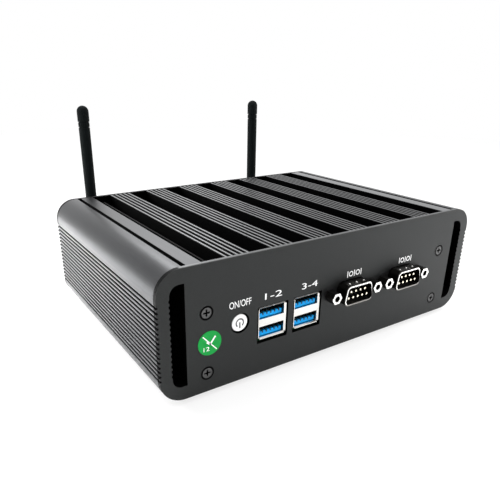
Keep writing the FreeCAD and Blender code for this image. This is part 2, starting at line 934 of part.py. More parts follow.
def pan_screw(place, seat, tip, head_up):
    """A screw with a flat round head on one face of the board."""
    if head_up:
        head = cylinder("board_screw_head_radius", "z", seat, seat + " + board_screw_head_height", place)
        return fuse([head, cylinder("screw_radius", "z", tip, seat, place)])
    head = cylinder("board_screw_head_radius", "z", seat + " - board_screw_head_height", seat, place)
    return fuse([head, cylinder("screw_radius", "z", seat, tip, place)])


def make_cooling():
    """The processor and the block that carries its heat up to the fins."""
    middle = "processor_from_front"
    processor_top = "board_top + processor_height"
    block_low = processor_top + " + block_foot_height"

    def square(size, z):
        return box(("-%s / 2" % size, "%s / 2" % size), ("%s - %s / 2" % (middle, size),
                   "%s + %s / 2" % (middle, size)), z)

    finish(group([square("processor_size", ("board_top", processor_top))]), "processor")
    solids = [square("block_size", (block_low, cavity_top)),
              square("block_foot_size", (processor_top, block_low))]
    bores = []
    screws = []
    for place in block_post_places():
        solids.append(cylinder("block_post_radius", "z", "board_top", block_low, place))
        bores.append(cylinder("screw_radius + screw_play", "z", "board_top", block_low, place))
        screws.append(pan_screw(place, board_bottom, block_low, False))
    finish(cut(fuse(solids), bores), "heat_block")
    finish(group(screws), "heat_block_screws")


def circuit_card(x, y, lift, thickness, chips):
    """A small card with chips on its upper face."""
    low = "board_top + %s" % lift
    high = low + " + " + thickness
    solids = [box(x, y, (low, high))]
    for chip_x, chip_y in chips:
        solids.append(box(chip_x, chip_y, (high, high + " + chip_thickness")))
    return fuse(solids)


def card_socket(x, y, lift, thickness, card_x, card_y):
    """An edge socket standing on the board, slotted for its card."""
    block = box(x, y, ("board_top", "board_top + socket_height"))
    low = "board_top + %s" % lift
    return cut(block, [box(card_x, card_y, (low, low + " + " + thickness))])


def make_cards():
    """Memory, solid state drive and radio card, each in its socket, and the clock's cell."""
    def share(start, length, part):
        return "%s + %s * %s" % (start, length, part)

    right = "-memory_side"
    left = "-memory_side - memory_width"
    y = ("memory_from_front", "memory_from_front + memory_length")
    chips = []
    for part in (0.05, 0.29, 0.53, 0.77):
        chips.append(((share(left, "memory_width", 0.12), share(left, "memory_width", 0.72)),
                      (share(y[0], "memory_length", part), share(y[0], "memory_length", part + 0.18))))
    finish(circuit_card((left, right), y, "memory_lift", "memory_thickness", chips), "memory_module")
    finish(card_socket((right + " - card_bite", right + " + 3"), (y[0] + " - 1.2", y[1] + " + 1.2"),
                       "memory_lift", "memory_thickness", (right + " - card_bite", right), y), "memory_socket")

    x = ("drive_side", "drive_side + drive_width")
    y = ("drive_from_front", "drive_from_front + drive_length")
    chips = [((share(x[0], "drive_width", 0.12), share(x[0], "drive_width", 0.88)),
              (share(y[0], "drive_length", part), share(y[0], "drive_length", part + 0.28)))
             for part in (0.08, 0.44)]
    finish(circuit_card(x, y, "card_lift", "card_thickness", chips), "solid_state_drive")
    finish(card_socket(x, (y[1] + " - card_bite", y[1] + " + 3"), "card_lift", "card_thickness",
                       x, (y[1] + " - card_bite", y[1])), "drive_socket")

    x = ("-radio_width / 2", "radio_width / 2")
    start = "processor_from_front + block_size / 2 + radio_gap"
    y = (start, start + " + radio_length")
    chips = [((share(x[0], "radio_width", 0.2), share(x[0], "radio_width", 0.75)),
              (share(y[0], "radio_length", 0.15), share(y[0], "radio_length", 0.85)))]
    finish(circuit_card(x, y, "card_lift", "card_thickness", chips), "radio_card")
    finish(card_socket((x[0] + " - 3", x[0] + " + card_bite"), (y[0] + " - 1", y[1] + " + 1"),
                       "card_lift", "card_thickness", (x[0], x[0] + " + card_bite"), y), "radio_socket")

    place = ("-cell_side", "cell_from_front")
    floor = "board_top + cell_holder_height"
    rim = floor + " + cell_thickness / 2"
    holder = cylinder("cell_radius + cell_rim + 0.2", "z", "board_top", rim, place)
    seat = cylinder("cell_radius + 0.2", "z", floor, rim, place)
    finish(cut(holder, [seat]), "clock_cell_holder")
    finish(group([cylinder("cell_radius", "z", floor, floor + " + cell_thickness", place)]), "clock_cell")


# Power button, drawn with its middle at the origin and its face towards -Y

def make_power_button():
    flange_front = inset_face("button_flange_gap")
    flange_back = flange_front + " + button_flange_thickness"
    stem_end = "panel_thickness + switch_back - 1 + 0.2"
    cap = fuse([
        cone("button_radius - button_bevel", "button_radius", "y", "button_recess",
             "button_recess + button_bevel"),
        cylinder("button_radius", "y", "button_recess + button_bevel", flange_front),
        cylinder("button_radius + button_gap + button_flange", "y", flange_front, flange_back),
        cylinder("stem_radius", "y", flange_back, stem_end),
    ])
    finish(cap, "power_button", "-button_side", "0", "button_height")
    half = "switch_width / 2"
    front = "switch_back"
    housing = box((opposite(half), half), (front, front + " + switch_depth"),
                  (board_level("button_height"), half))
    bore = cylinder("stem_radius + stem_play", "y", front, stem_end + " + button_travel + stem_play")
    finish(cut(housing, [bore]), "power_switch", "-button_side", "0", "button_height")


# Double USB sockets, drawn with their middle at x 0 and the panel's face at y 0

def usb_places():
    return ("-usb_left", "-usb_left + usb_pitch")


def usb_cutout(x):
    reach = "(%s + %s + usb_side_margin)" % (usb_half_opening, usb_lip)
    return ("%s - %s" % (x, reach), "%s + %s" % (x, reach))


def usb_cutout_height():
    return ("board_top + usb_floor - %s - usb_lower_margin" % usb_lip,
            "board_top + %s + %s + usb_upper_margin" % (usb_roof, usb_lip))


def usb_openings():
    """The floor of each of the two openings, above the board."""
    return ("usb_floor", "usb_floor + usb_opening_height + usb_bridge")


def funnel(near, far, grow, flare):
    """A block round both openings that is wider by flare at its near end."""
    solid = doc.addObject("Part::Wedge", "Funnel")
    solid.setExpression("Ymin", bound(near))
    solid.setExpression("Ymax", bound(far))
    for end, wider in (("", " + %s + %s" % (grow, flare)), ("2", " + %s" % grow)):
        across = "%s%s" % (usb_half_opening, wider)
        solid.setExpression("X%smin" % end, bound(opposite(across)))
        solid.setExpression("X%smax" % end, bound(across))
        solid.setExpression("Z%smin" % end, bound("usb_floor - (0%s)" % wider))
        solid.setExpression("Z%smax" % end, bound("%s%s" % (usb_roof, wider)))
    return solid


def usb_lips(face):
    """Four lips flared outwards round the front of a socket, with a notch at each corner."""
    near = face + " - usb_lip_reach"
    ring = funnel(near, face, "usb_sheet", "usb_lip_flare")
    tools = [funnel(near, face, "0", "usb_lip_flare")]
    beyond = "(%s + 2 * %s)" % (usb_half_opening, usb_lip)
    for low, high in ((opposite(beyond), opposite(usb_half_opening)), (usb_half_opening, beyond)):
        for bottom, top in (("0", "usb_floor"), (usb_roof, "%s + 2 * %s" % (usb_roof, usb_lip))):
            tools.append(box((low, high), (near, face), (bottom, top)))
    return cut(ring, tools)


def make_usb(name, x, y="0", turned=False):
    face = "usb_recess"
    half = "usb_opening_width / 2"
    back = face + " + usb_depth"
    side = "(%s + usb_sheet)" % usb_half_opening
    shell = fuse([
        box((opposite(side), side), (face, face + " + usb_undercut"),
            ("usb_floor - usb_sheet", "%s + usb_sheet" % usb_roof)),
        box((opposite(side), side), (face + " + usb_undercut", back), ("0", "%s + usb_sheet" % usb_roof)),
        usb_lips(face),
    ])
    openings = []
    tongues = []
    contacts = []
    for floor in usb_openings():
        roof = floor + " + usb_opening_height"
        openings.append(box((opposite(half), half), (face, back), (floor, roof)))
        tongue = (floor + " + tongue_lift", floor + " + tongue_lift + tongue_thickness")
        front = face + " + tongue_recess"
        solid = fuse([
            box((opposite(half), half), (face + " + usb_cavity", back), (floor, roof)),
            box(("-tongue_width / 2", "tongue_width / 2"), (front, face + " + usb_cavity"), tongue),
        ])
        grooves = []
        for index in range(count("contact_count")):
            middle = "(%d - (contact_count - 1) / 2) * contact_pitch" % index
            span = (middle + " - contact_width / 2", middle + " + contact_width / 2")
            grooves.append(box(span, (front, front + " + contact_length"),
                               (tongue[1] + " - contact_depth", tongue[1])))
            contacts.append(box(span, (front + " + 0.6", front + " + contact_length"),
                                (tongue[1] + " - contact_depth", tongue[1] + " - contact_depth / 2")))
        tongues.append(cut(solid, grooves))
    place = (x, y, "board_top", turned)
    finish(cut(shell, openings), name + "_shell", *place)
    finish(group(tongues), name + "_tongues", *place)
    finish(group(contacts), name + "_contacts", *place)


# Ports with a D shaped shell, drawn with their middle at the origin

def serial_places():
    return ("serial_left", "serial_left + serial_pitch")


def port_shell(name, grow):
    """The flanged metal shell, open right through, with a rounded rim and three bumps on top."""
    body = doc.addObject("PartDesign::Body", name)
    flange = sketch(body, name + "Flange", at="panel_thickness")
    rectangle(flange, ("-flange_width / 2", "flange_width / 2"), ("-flange_height / 2", "flange_height / 2"))
    pad(body, flange, "flange_thickness")
    outer = sketch(body, name + "Outer", at="-shell_reach")
    shell_outline(outer, grow)
    pad(body, outer, "shell_reach + panel_thickness")
    inner = sketch(body, name + "Inner", at="-shell_reach")
    shell_outline(inner, "%s - shell_wall" % grow)
    for place in jackscrew_places("0", "0"):
        circle(inner, "jackscrew_stud_radius + stud_play", *place)
    round_rim(body, pocket(body, inner), value("-shell_reach"), value("shell_height / 2 + (%s)" % grow))
    skin = "shell_height / 2 + (%s)" % grow
    bumps = [cone("shell_bump_radius", "shell_bump_radius / 2", "z", skin + " - shell_bump_rise",
                  skin + " + shell_bump_rise", ("%d * shell_bump_pitch" % step, "-shell_bump_reach"))
             for step in (-1, 0, 1)]
    return fuse([body] + bumps)


def round_rim(body, feature, front, skin):
    """Round the outer edge of a shell's front end, found by its plane and its flat sides."""
    def outer(edge):
        box = edge.BoundBox
        return box.YMax - front < 1e-4 and abs(abs(box.Center.z) - skin) < 1e-3

    shape = feature.Shape
    flat = [index for index, edge in enumerate(shape.Edges, start=1) if outer(edge)]
    rounding = body.newObject("PartDesign::Fillet", "Rim")
    rounding.Base = (feature, ["Edge%d" % index for index in flat])
    rounding.setExpression("Radius", bound("shell_rim_round"))


def port_insulator(name, grow, face, level):
    """The plastic body, its front inside the shell and its block down on the board."""
    body = doc.addObject("PartDesign::Body", name)
    front = sketch(body, name + "Front", at=face)
    shell_outline(front, "%s - shell_wall - shell_fit" % grow)
    back = inset_face("flange_thickness")
    pad(body, front, less(back, face))
    block = sketch(body, name + "Block", at=back)
    rectangle(block, ("-port_block_width / 2", "port_block_width / 2"), (level, "flange_height / 2"))
    pad(body, block, "port_block_depth")
    return body


def jackscrews(x, z, y="0", forwards=True):
    """The two hexagonal posts that a plug's screws go into."""
    def step(text):
        return "%s %s (%s)" % (y, "+" if forwards else "-", text)

    def span(near, far):
        return (step(near), step(far)) if forwards else (step(far), step(near))

    posts = []
    for place in jackscrew_places(x, z):
        post = span("-jackscrew_reach", "0")
        stud = span("0", "jackscrew_stud")
        bore = span("-jackscrew_reach", "jackscrew_bore_depth - jackscrew_reach")
        solid = fuse([hexagon("jackscrew_radius", "y", post[0], post[1], place),
                      cylinder("jackscrew_stud_radius", "y", stud[0], stud[1], place)])
        posts.append(cut(solid, [cylinder("jackscrew_bore", "y", bore[0], bore[1], place)]))
    return posts


def make_serial_ports():
    posts = []
    for side, x in zip(("left", "right"), serial_places()):
        place = (x, "0", "serial_height")
        name = "serial_port_%s" % side
        title = "Serial%s" % side.capitalize()
        face = "insulator_recess - shell_reach"
        finish(port_shell(title + "Shell", "0"), name + "_shell", *place)
        finish(port_insulator(title + "Insulator", "0", face, board_level("serial_height")),
               name + "_insulator", *place)
        pins = []
        for count_in_row, sign in ((5, "-"), (4, "")):
            for index in range(count_in_row):
                across = "%.1f * pin_pitch" % (index - (count_in_row - 1) / 2)
                pins.append(cylinder("pin_radius", "y", "-pin_reach", face, (across, sign + "pin_rows / 2")))
        finish(group(pins), name + "_pins", *place)
        posts += jackscrews(x, "serial_height")
    finish(group(posts), "serial_port_jackscrews")


def make_monitor_port():
    place = ("-monitor_side", "body_depth", "monitor_height", True)
    grow = "-monitor_fit"
    finish(port_shell("MonitorShell", grow), "monitor_port_shell", *place)
    face = "monitor_face_recess - shell_reach"
    body = port_insulator("MonitorInsulator", grow, face, board_level("monitor_height"))
    holes = sketch(body, "MonitorHoles", at=face)
    for row in (-1, 0, 1):
        for index in range(5):
            across = "(%.1f) * monitor_hole_pitch" % (index - 2 + (0.25 if row else -0.25))
            circle(holes, "monitor_hole_radius", across, "(%d) * monitor_hole_rows" % row)
    pocket(body, holes, "monitor_hole_depth")
    finish(body, "monitor_port_insulator", *place)
    finish(group(jackscrews("-monitor_side", "monitor_height", "body_depth", False)),
           "monitor_port_jackscrews")


# Other rear ports, drawn facing -Y with the panel's face at y 0

def make_power_inlet():
    height = "inlet_height"
    back = inset_face("cutout_play")
    half = "inlet_width / 2"
    solid = fuse([
        box((opposite(half), half), (back, back + " + inlet_depth"), (board_level(height), half)),
        cylinder("inlet_nose_radius", "y", "0", back),
    ])
    bore = cylinder("inlet_bore", "y", "0", "inlet_bore_depth")
    place = ("-inlet_side", "body_depth", height, True)
    finish(cut(solid, [bore]), "power_inlet", *place)
    pin = cylinder("inlet_pin_radius", "y", "inlet_pin_recess", "inlet_bore_depth")
    finish(group([pin]), "power_inlet_pin", *place)


def make_video_port():
    """A flat socket whose shell narrows towards its lower edge."""
    place = ("-video_side", "body_depth", "board_top", True)

    def section(drawing, grow):
        wide = "video_width / 2 + %s" % grow
        narrow = "video_width / 2 - video_step + (%s) * tan(22.5)" % grow
        low = opposite(grow)
        high = "video_height + %s" % grow
        step = "video_step - (%s) * tan(22.5)" % grow
        outline(drawing, [(opposite(narrow), low), (narrow, low), (wide, step), (wide, high),
                          (opposite(wide), high), (opposite(wide), step)])

    shell = doc.addObject("PartDesign::Body", "VideoShell")
    outer = sketch(shell, "VideoOuter", at="video_recess")
    section(outer, "0")
    pad(shell, outer, "video_depth")
    inner = sketch(shell, "VideoInner", at="video_recess")
    section(inner, "-video_wall")
    pocket(shell, inner)
    finish(shell, "video_port_shell", *place)

    insert = doc.addObject("PartDesign::Body", "VideoInsert")
    plug = sketch(insert, "VideoPlug", at="video_recess + video_depth * 0.7")
    section(plug, "-video_wall")
    pad(insert, plug, "video_depth * 0.3")
    tongue = sketch(insert, "VideoTongue", at="2 * video_recess")
    middle = "video_height / 2 + 0.4"
    rectangle(tongue, ("-video_tongue_width / 2", "video_tongue_width / 2"),
              (middle + " - video_tongue_thickness / 2", middle + " + video_tongue_thickness / 2"))
    pad(insert, tongue, "video_depth * 0.75")
    finish(insert, "video_port_insert", *place)


def make_network_port():
    face = "network_recess"
    place = ("network_side", "body_depth", "board_top", True)
    shell = box(("-network_width / 2", "network_width / 2"), (face, face + " + network_depth"),
                ("0", "network_height"))
    half = "network_opening_width / 2"
    low = "network_opening_lift"
    high = low + " + network_opening_height"
    back = face + " + network_cavity"
    opening = fuse([
        box((opposite(half), half), (face, back), (low, high)),
        box(("-network_key_width / 2", "network_key_width / 2"), (face, back),
            (low + " - network_key_height", low)),
    ])
    finish(cut(shell, [opening]), "network_port_shell", *place)
    contacts = []
    for index in range(count("network_contact_count")):
        middle = "(%d - (network_contact_count - 1) / 2) * network_contact_pitch" % index
        span = (middle + " - network_contact_size / 2", middle + " + network_contact_size / 2")
        contacts.append(box(span, (back + " - network_contact_length", back),
                            (high + " - network_contact_size", high)))
    finish(group(contacts), "network_port_contacts", *place)


def make_audio_jacks():
    back = inset_face("cutout_play")
    half = "audio_width / 2"
    solids = [box((opposite(half), half), (back, back + " + audio_depth"),
                  (board_level("audio_low"), "audio_rise + " + half))]
    bores = []
    for rise in ("0", "audio_rise"):
        solids.append(cylinder("audio_nose_radius", "y", "-audio_nose_reach", back, ("0", rise)))
        bores.append(cylinder("audio_bore", "y", "-audio_nose_reach", "audio_bore_depth - audio_nose_reach",
                              ("0", rise)))
    finish(cut(fuse(solids), bores), "audio_jacks", "audio_side", "body_depth", "audio_low", True)


# Antennas, drawn with the jack's axis along y and the panel's face at y 0

def antenna_places():
    return (less("antenna_left_inset", half_width), less(half_width, "antenna_right_inset"))


def make_antenna(side, x):
    place = (x, "body_depth", "antenna_height")
    back = opposite("panel_thickness")
    shoulder = "-panel_thickness - jack_shoulder"
    jack = fuse([
        cylinder("jack_radius", "y", shoulder, "jack_reach"),
        hexagon("jack_shoulder_radius", "y", shoulder, back),
        cylinder("jack_radius * 0.7", "y", shoulder + " - jack_back", shoulder),
    ])
    finish(jack, "antenna_jack_%s" % side, *place)

    sleeve_start = "nut_thickness + elbow_gap"
    fork_root = "hinge_reach - hinge_radius - hinge_round_play"
    outside = "ear_gap / 2 + ear_thickness"
    ears = []
    for sign in (-1, 1):
        low, high = ("ear_gap / 2", outside) if sign > 0 else (opposite(outside), "-ear_gap / 2")
        plate = box((low, high), (fork_root, "hinge_reach"), ("-hinge_radius", "hinge_radius"))
        ears.append(fuse([plate, cylinder("hinge_radius", "x", low, high, ("hinge_reach", "0"))]))
    elbow = fuse([cylinder("elbow_radius", "y", sleeve_start, fork_root)] + ears)
    tools = [cylinder("jack_radius + elbow_fit", "y", sleeve_start, "jack_reach + elbow_fit"),
             cylinder("hinge_pin_radius + hinge_pin_fit", "x", opposite(outside), outside,
                      ("hinge_reach", "0"))]
    finish(cut(elbow, tools), "antenna_elbow_%s" % side, *place)
    pin = cylinder("hinge_pin_radius", "x", opposite(outside), outside, ("hinge_reach", "0"))
    finish(group([pin]), "antenna_hinge_pin_%s" % side, *place)
    finish(whip(side), "antenna_whip_%s" % side, x, "body_depth + hinge_reach", "antenna_height")


def whip(side):
    """The rubber covered whip: a flat tongue on the hinge, a taper and a ringed cap."""
    name = "Whip" + side.capitalize()
    body = doc.addObject("PartDesign::Body", name)
    shoulder = "hinge_radius + hinge_round_play"
    cap_low = "whip_height - whip_cap_length"
    ring_top = cap_low + " - whip_ring_gap"
    ring_low = ring_top + " - whip_ring_width"
    neck = "whip_radius - whip_ring_depth"
    profile = sketch(body, name + "Profile")
    outline(profile, [
        ("0", shoulder),
        ("whip_foot_radius", shoulder),
        ("whip_foot_radius", "whip_taper_start"),
        ("whip_radius", "whip_taper_end"),
        ("whip_radius", ring_low + " - whip_ring_gap"),
        (neck, ring_low + " - whip_ring_gap"),
        (neck, ring_low),
        ("whip_radius", ring_low),
        ("whip_radius", ring_top),
        (neck, ring_top),
        (neck, cap_low),
        ("whip_cap_radius", cap_low),
        ("whip_cap_radius", "whip_height - whip_cap_radius", "whip_cap_radius"),
        ("0", "whip_height"),
    ])
    turned = body.newObject("PartDesign::Revolution", name + "Turned")
    turned.Profile = profile
    turned.ReferenceAxis = (profile, ["V_Axis"])
    turned.Angle = 360
    doc.recompute()
    half = "ear_gap / 2 - hinge_side_play"
    tongue = fuse([
        box((opposite(half), half), (opposite("hinge_radius"), "hinge_radius"), ("0", shoulder)),
        cylinder("hinge_radius", "x", opposite(half), half),
    ])
    bore = cylinder("hinge_pin_radius + hinge_pin_fit", "x", opposite(half), half)
    return cut(fuse([body, tongue]), [bore])


def make_antennas():
    nuts = []
    for side, x in zip(("left", "right"), antenna_places()):
        make_antenna(side, x)
        ring = hexagon("nut_radius", "y", "0", "nut_thickness", (x, "0"))
        nuts.append(cut(ring, [cylinder("jack_radius + elbow_fit", "y", "0", "nut_thickness", (x, "0"))]))
    finish(group(nuts), "antenna_jack_nuts", "0", "body_depth", "antenna_height")


def make_sticker():
    disc = cylinder("sticker_radius", "y", "-sticker_thickness", "0")
    finish(group([disc]), "inspection_sticker", "-sticker_side", "0", "sticker_height")


make_housing()
make_front_panel()
make_rear_panel()
make_screws()
make_bottom()
make_board()
make_cooling()
make_cards()
make_power_button()
for port, x in zip(("front_usb_left", "front_usb_right"), usb_places()):
    make_usb(port, x)
make_usb("rear_usb", rear_usb_side, "body_depth", True)
make_serial_ports()
make_monitor_port()
make_power_inlet()
make_video_port()
make_network_port()
make_audio_jacks()
make_antennas()
make_sticker()
doc.recompute()

for item in doc.Objects:
    if "Invalid" in item.State or "Error" in item.State:
        raise RuntimeError("%s (%s) failed: %s" % (item.Name, item.Label, item.State))
for piece in pieces:
    if piece.Shape.isNull() or not piece.Shape.isValid() or not piece.Shape.Solids:
        raise RuntimeError("%s has no sound shape" % piece.Label)

os.makedirs("parts", exist_ok=True)
for piece in pieces:
    piece.Shape.exportStep("parts/%s.step" % piece.Label)
    print("%-28s %2d solids %9.1f mm3" % (piece.Label, len(piece.Shape.Solids), piece.Shape.Volume))
print(len(pieces), "nodes")
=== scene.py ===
import bmesh
import bpy
import math
from mathutils import Matrix, Vector


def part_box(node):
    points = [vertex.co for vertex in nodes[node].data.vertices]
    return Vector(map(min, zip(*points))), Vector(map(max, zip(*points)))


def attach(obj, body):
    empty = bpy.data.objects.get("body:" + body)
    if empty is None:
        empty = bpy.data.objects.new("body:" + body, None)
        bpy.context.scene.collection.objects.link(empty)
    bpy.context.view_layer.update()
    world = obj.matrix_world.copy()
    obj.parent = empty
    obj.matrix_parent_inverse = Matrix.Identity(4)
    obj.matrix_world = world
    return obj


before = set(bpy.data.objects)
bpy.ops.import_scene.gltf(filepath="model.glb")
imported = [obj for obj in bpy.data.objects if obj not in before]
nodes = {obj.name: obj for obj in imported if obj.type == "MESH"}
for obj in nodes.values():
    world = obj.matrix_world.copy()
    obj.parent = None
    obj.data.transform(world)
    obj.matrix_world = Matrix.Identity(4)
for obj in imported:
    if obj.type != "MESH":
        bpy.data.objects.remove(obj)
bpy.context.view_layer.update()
mm = 0.001
weld = 1e-7                          # points closer than this, in m, count as one

# landmarks of the CAD parts, from which every place below is measured
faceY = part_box("front_panel")[0].y   # outer face of the front panel
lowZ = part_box("front_panel")[0].z    # underside of the housing
print("frame loaded,", len(nodes), "nodes")


# millimetres from the middle, the panel's face and the underside, as a point in the frame
def at(x, y, z):
    return Vector((x * mm, faceY + y * mm, lowZ + z * mm))


# a CAD part's two far corners, in mm as at() takes them
def cornersOf(name):
    start = at(0, 0, 0)
    return [[round(v / mm, 3) for v in corner - start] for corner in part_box(name)]


# the middle of the front of a CAD part's box, in mm as at() takes it
def frontOf(name):
    low, high = cornersOf(name)
    return ((low[0] + high[0]) / 2, low[1], (low[2] + high[2]) / 2)


# the case, and the open ends of its finishes' places, in mm as at() takes them
halfWidth, depth, height = cornersOf("rear_panel")[1]
clear = 10                           # how far the open ends lie beyond the case
leftX, rightX = -halfWidth - clear, halfWidth + clear
nearY, farY = -clear, depth + clear
underZ, overZ = -clear, height + clear
crestZ = height - 0.16               # only the fins' crests and the edge strips rise over this
crestSoft = 0.08                     # way over which a finish of the crests sets in


def srgb(hexText):
    channels = [int(hexText[i:i + 2], 16) / 255 for i in (1, 3, 5)]
    linear = [c / 12.92 if c <= 0.04045 else ((c + 0.055) / 1.055) ** 2.4 for c in channels]
    return (*linear, 1.0)


# pattern scale for features of these sizes in millimetres
def perMm(x, y, z):
    return (1 / (x * mm), 1 / (y * mm), 1 / (z * mm))


# one node with its values set and its inputs linked
def addNode(tree, kind, values=None, links=None):
    node = tree.nodes.new(kind)
    for name, value in (values or {}).items():
        if isinstance(name, int) or name in node.inputs:
            node.inputs[name].default_value = value
        else:
            setattr(node, name, value)
    for name, source in (links or {}).items():
        tree.links.new(source, node.inputs[name])
    return node


# a material with its shader set, ready for colour, roughness and bump
def startMaterial(name, metallic=0.0, **sockets):
    material = bpy.data.materials.new(name)
    material.use_nodes = True
    tree = material.node_tree
    shader = tree.nodes["Principled BSDF"]
    shader.inputs["Metallic"].default_value = metallic
    for socket, value in sockets.items():
        shader.inputs[socket.replace("_", " ")].default_value = value
    spot = addNode(tree, "ShaderNodeTexCoord").outputs["Object"]
    return material, tree, shader, spot


# 1 inside a box, falling to 0 over a short way at its faces
def insideBox(tree, spot, low, high, soft):
    above = addNode(tree, "ShaderNodeVectorMath", {"operation": "SUBTRACT", 1: low}, {0: spot})
    below = addNode(tree, "ShaderNodeVectorMath", {"operation": "SUBTRACT", 0: high}, {1: spot})
    nearest = addNode(tree, "ShaderNodeVectorMath", {"operation": "MINIMUM"},
                      {0: above.outputs["Vector"], 1: below.outputs["Vector"]})
    ways = addNode(tree, "ShaderNodeSeparateXYZ", {}, {"Vector": nearest.outputs["Vector"]}).outputs
    level = addNode(tree, "ShaderNodeMath", {"operation": "MINIMUM"}, {0: ways["X"], 1: ways["Y"]})
    least = addNode(tree, "ShaderNodeMath", {"operation": "MINIMUM"},
                    {0: level.outputs["Value"], 1: ways["Z"]})
    inside = addNode(tree, "ShaderNodeMapRange", {"From Max": soft}, {"Value": least.outputs["Value"]})
    return inside.outputs["Result"]


# how squarely a face has to look along the object's depth to count a little, and in full
squareOn = {"start": 0.72, "full": 0.95}


# 1 on faces turned along the object's depth, 0 on the others: the faces that get painted highlights;
# a mask is given the spot, which this one doesn't need
def facingPanels(tree, spot):
    facing = addNode(tree, "ShaderNodeTexCoord").outputs["Normal"]
    along = addNode(tree, "ShaderNodeSeparateXYZ", {}, {"Vector": facing}).outputs["Y"]
    either = addNode(tree, "ShaderNodeMath", {"operation": "ABSOLUTE"}, {0: along})
    turned = addNode(tree, "ShaderNodeMapRange",
                     {"From Min": squareOn["start"], "From Max": squareOn["full"]},
                     {"Value": either.outputs["Value"]})
    return turned.outputs["Result"]


# shades, roughness and bump of a surface, all from one grey pattern; its places take another shade
# and roughness, the later ones over the earlier ones
def finishFrom(tree, shader, spot, pattern, finish):
    low, high = finish["shades"]
    colour = addNode(tree, "ShaderNodeMix", {"data_type": "RGBA", 6: srgb(low), 7: srgb(high)},
                     {0: pattern}).outputs[2]
    low, high = finish["roughness"]
    rough = addNode(tree, "ShaderNodeMapRange", {"To Min": low, "To Max": high},
                    {"Value": pattern}).outputs["Result"]
    for place in finish.get("places", ()):
        if "mask" in place:
            mask = place["mask"](tree, spot)
        else:
            mask = insideBox(tree, spot, at(*place["from"]), at(*place["to"]), place["soft"] * mm)
        colour = addNode(tree, "ShaderNodeMix", {"data_type": "RGBA", 7: srgb(place["shade"])},
                         {0: mask, 6: colour}).outputs[2]
        rough = addNode(tree, "ShaderNodeMix", {"data_type": "FLOAT", 3: place["roughness"]},
                        {0: mask, 2: rough}).outputs[0]
    bump = addNode(tree, "ShaderNodeBump",
                   {"Strength": finish["bumpStrength"], "Distance": finish["bumpMm"] * mm},
                   {"Height": pattern})
    tree.links.new(colour, shader.inputs["Base Color"])
    tree.links.new(rough, shader.inputs["Roughness"])
    tree.links.new(bump.outputs["Normal"], shader.inputs["Normal"])


# the fins on top, in groups between channels, in mm
fins = {
    "span": 136.9, "channels": 7,    # from side to side over all channels and groups
    "inGroup": 5, "thickness": 1.4, "gap": 1.05,
    "core": 0.15, "flank": 0.3,      # half the width of a crest's painted highlight, and the fall to painted shade beside it
}


# 1 along both edges of each fin's crest, 0 along its middle: the painted shade that narrows the crests'
# painted highlight to a line
def finEdges(tree, spot):
    group = fins["inGroup"] * fins["thickness"] + (fins["inGroup"] - 1) * fins["gap"]
    halfPitch = (fins["span"] + group) / fins["channels"] / 2 * mm
    halfStep = (fins["thickness"] + fins["gap"]) / 2 * mm
    across = addNode(tree, "ShaderNodeSeparateXYZ", {}, {"Vector": spot}).outputs["X"]
    fromChannel = addNode(tree, "ShaderNodeMath", {"operation": "PINGPONG", 1: halfPitch}, {0: across})
    fromGroup = addNode(tree, "ShaderNodeMath", {"operation": "SUBTRACT", 0: halfPitch},
                        {1: fromChannel.outputs["Value"]})
    fromFin = addNode(tree, "ShaderNodeMath", {"operation": "PINGPONG", 1: halfStep},
                      {0: fromGroup.outputs["Value"]})
    edges = addNode(tree, "ShaderNodeMapRange",
                    {"From Min": fins["core"] * mm, "From Max": (fins["core"] + fins["flank"]) * mm},
                    {"Value": fromFin.outputs["Value"]})
    side = fins["span"] / 2
    onTop = insideBox(tree, spot, at(-side, nearY, crestZ), at(side, farY, overZ), crestSoft * mm)
    return addNode(tree, "ShaderNodeMath", {"operation": "MULTIPLY"},
                   {0: edges.outputs["Result"], 1: onTop}).outputs["Value"]


# a finish's places are boxes in mm, as at() takes them, or masks
housingFinish = {
    "shades": ("#3e3f41", "#515254"),
    "roughness": (0.32, 0.42),
    "streakMm": (0.35, 9.0, 0.35),   # brush lines, drawn coarser than the real 0.05 mm so that they show
    "bumpMm": 0.02, "bumpStrength": 0.3,
    "places": [
        # painted highlight on the fins' crests, and painted shade along both edges of each crest
        {"from": (-66, nearY, crestZ), "to": (66, farY, overZ), "soft": crestSoft,
         "shade": "#7c7d7f", "roughness": 0.34},
        {"mask": finEdges, "shade": "#0b0b0c", "roughness": 0.6},
        # painted highlight on the right edge strip, brighter than the left one
        {"from": (68, nearY, crestZ), "to": (75, farY, overZ), "soft": crestSoft,
         "shade": "#7e7f81", "roughness": 0.34},
        # painted shade, matt black, in the channels and grooves of the top
        {"from": (-77, nearY, underZ), "to": (77, farY, crestZ), "soft": 0.12,
         "shade": "#040405", "roughness": 0.72},
        # painted shade, matt black, in the grooves of the sides
        {"from": (0.25 - halfWidth, nearY, 10.6), "to": (halfWidth - 0.25, farY, 42.2), "soft": 0.1,
         "shade": "#040405", "roughness": 0.72},
    ],
}


# extruded aluminium, anodised black and brushed lengthwise: long streaks and stretched highlights
# outside, a painted highlight on the crests, and painted shade, matt black, in the grooves and channels
def blackAnodisedExtrusion():
    material, tree, shader, spot = startMaterial("blackAnodisedExtrusion", 1.0, Anisotropic=0.6)
    grain = addNode(tree, "ShaderNodeMapping", {"Scale": perMm(*housingFinish["streakMm"])}, {"Vector": spot})
    streaks = addNode(tree, "ShaderNodeTexNoise", {"Scale": 1.0, "Detail": 4.0, "Roughness": 0.65},
                      {"Vector": grain.outputs["Vector"]})
    turn = addNode(tree, "ShaderNodeTangent", {"direction_type": "RADIAL", "axis": "Y"})
    tree.links.new(turn.outputs["Tangent"], shader.inputs["Tangent"])
    finishFrom(tree, shader, spot, streaks.outputs["Fac"], housingFinish)
    return material


plateSkin = 0.04                     # how far in from a plate's outer face its edges and holes begin

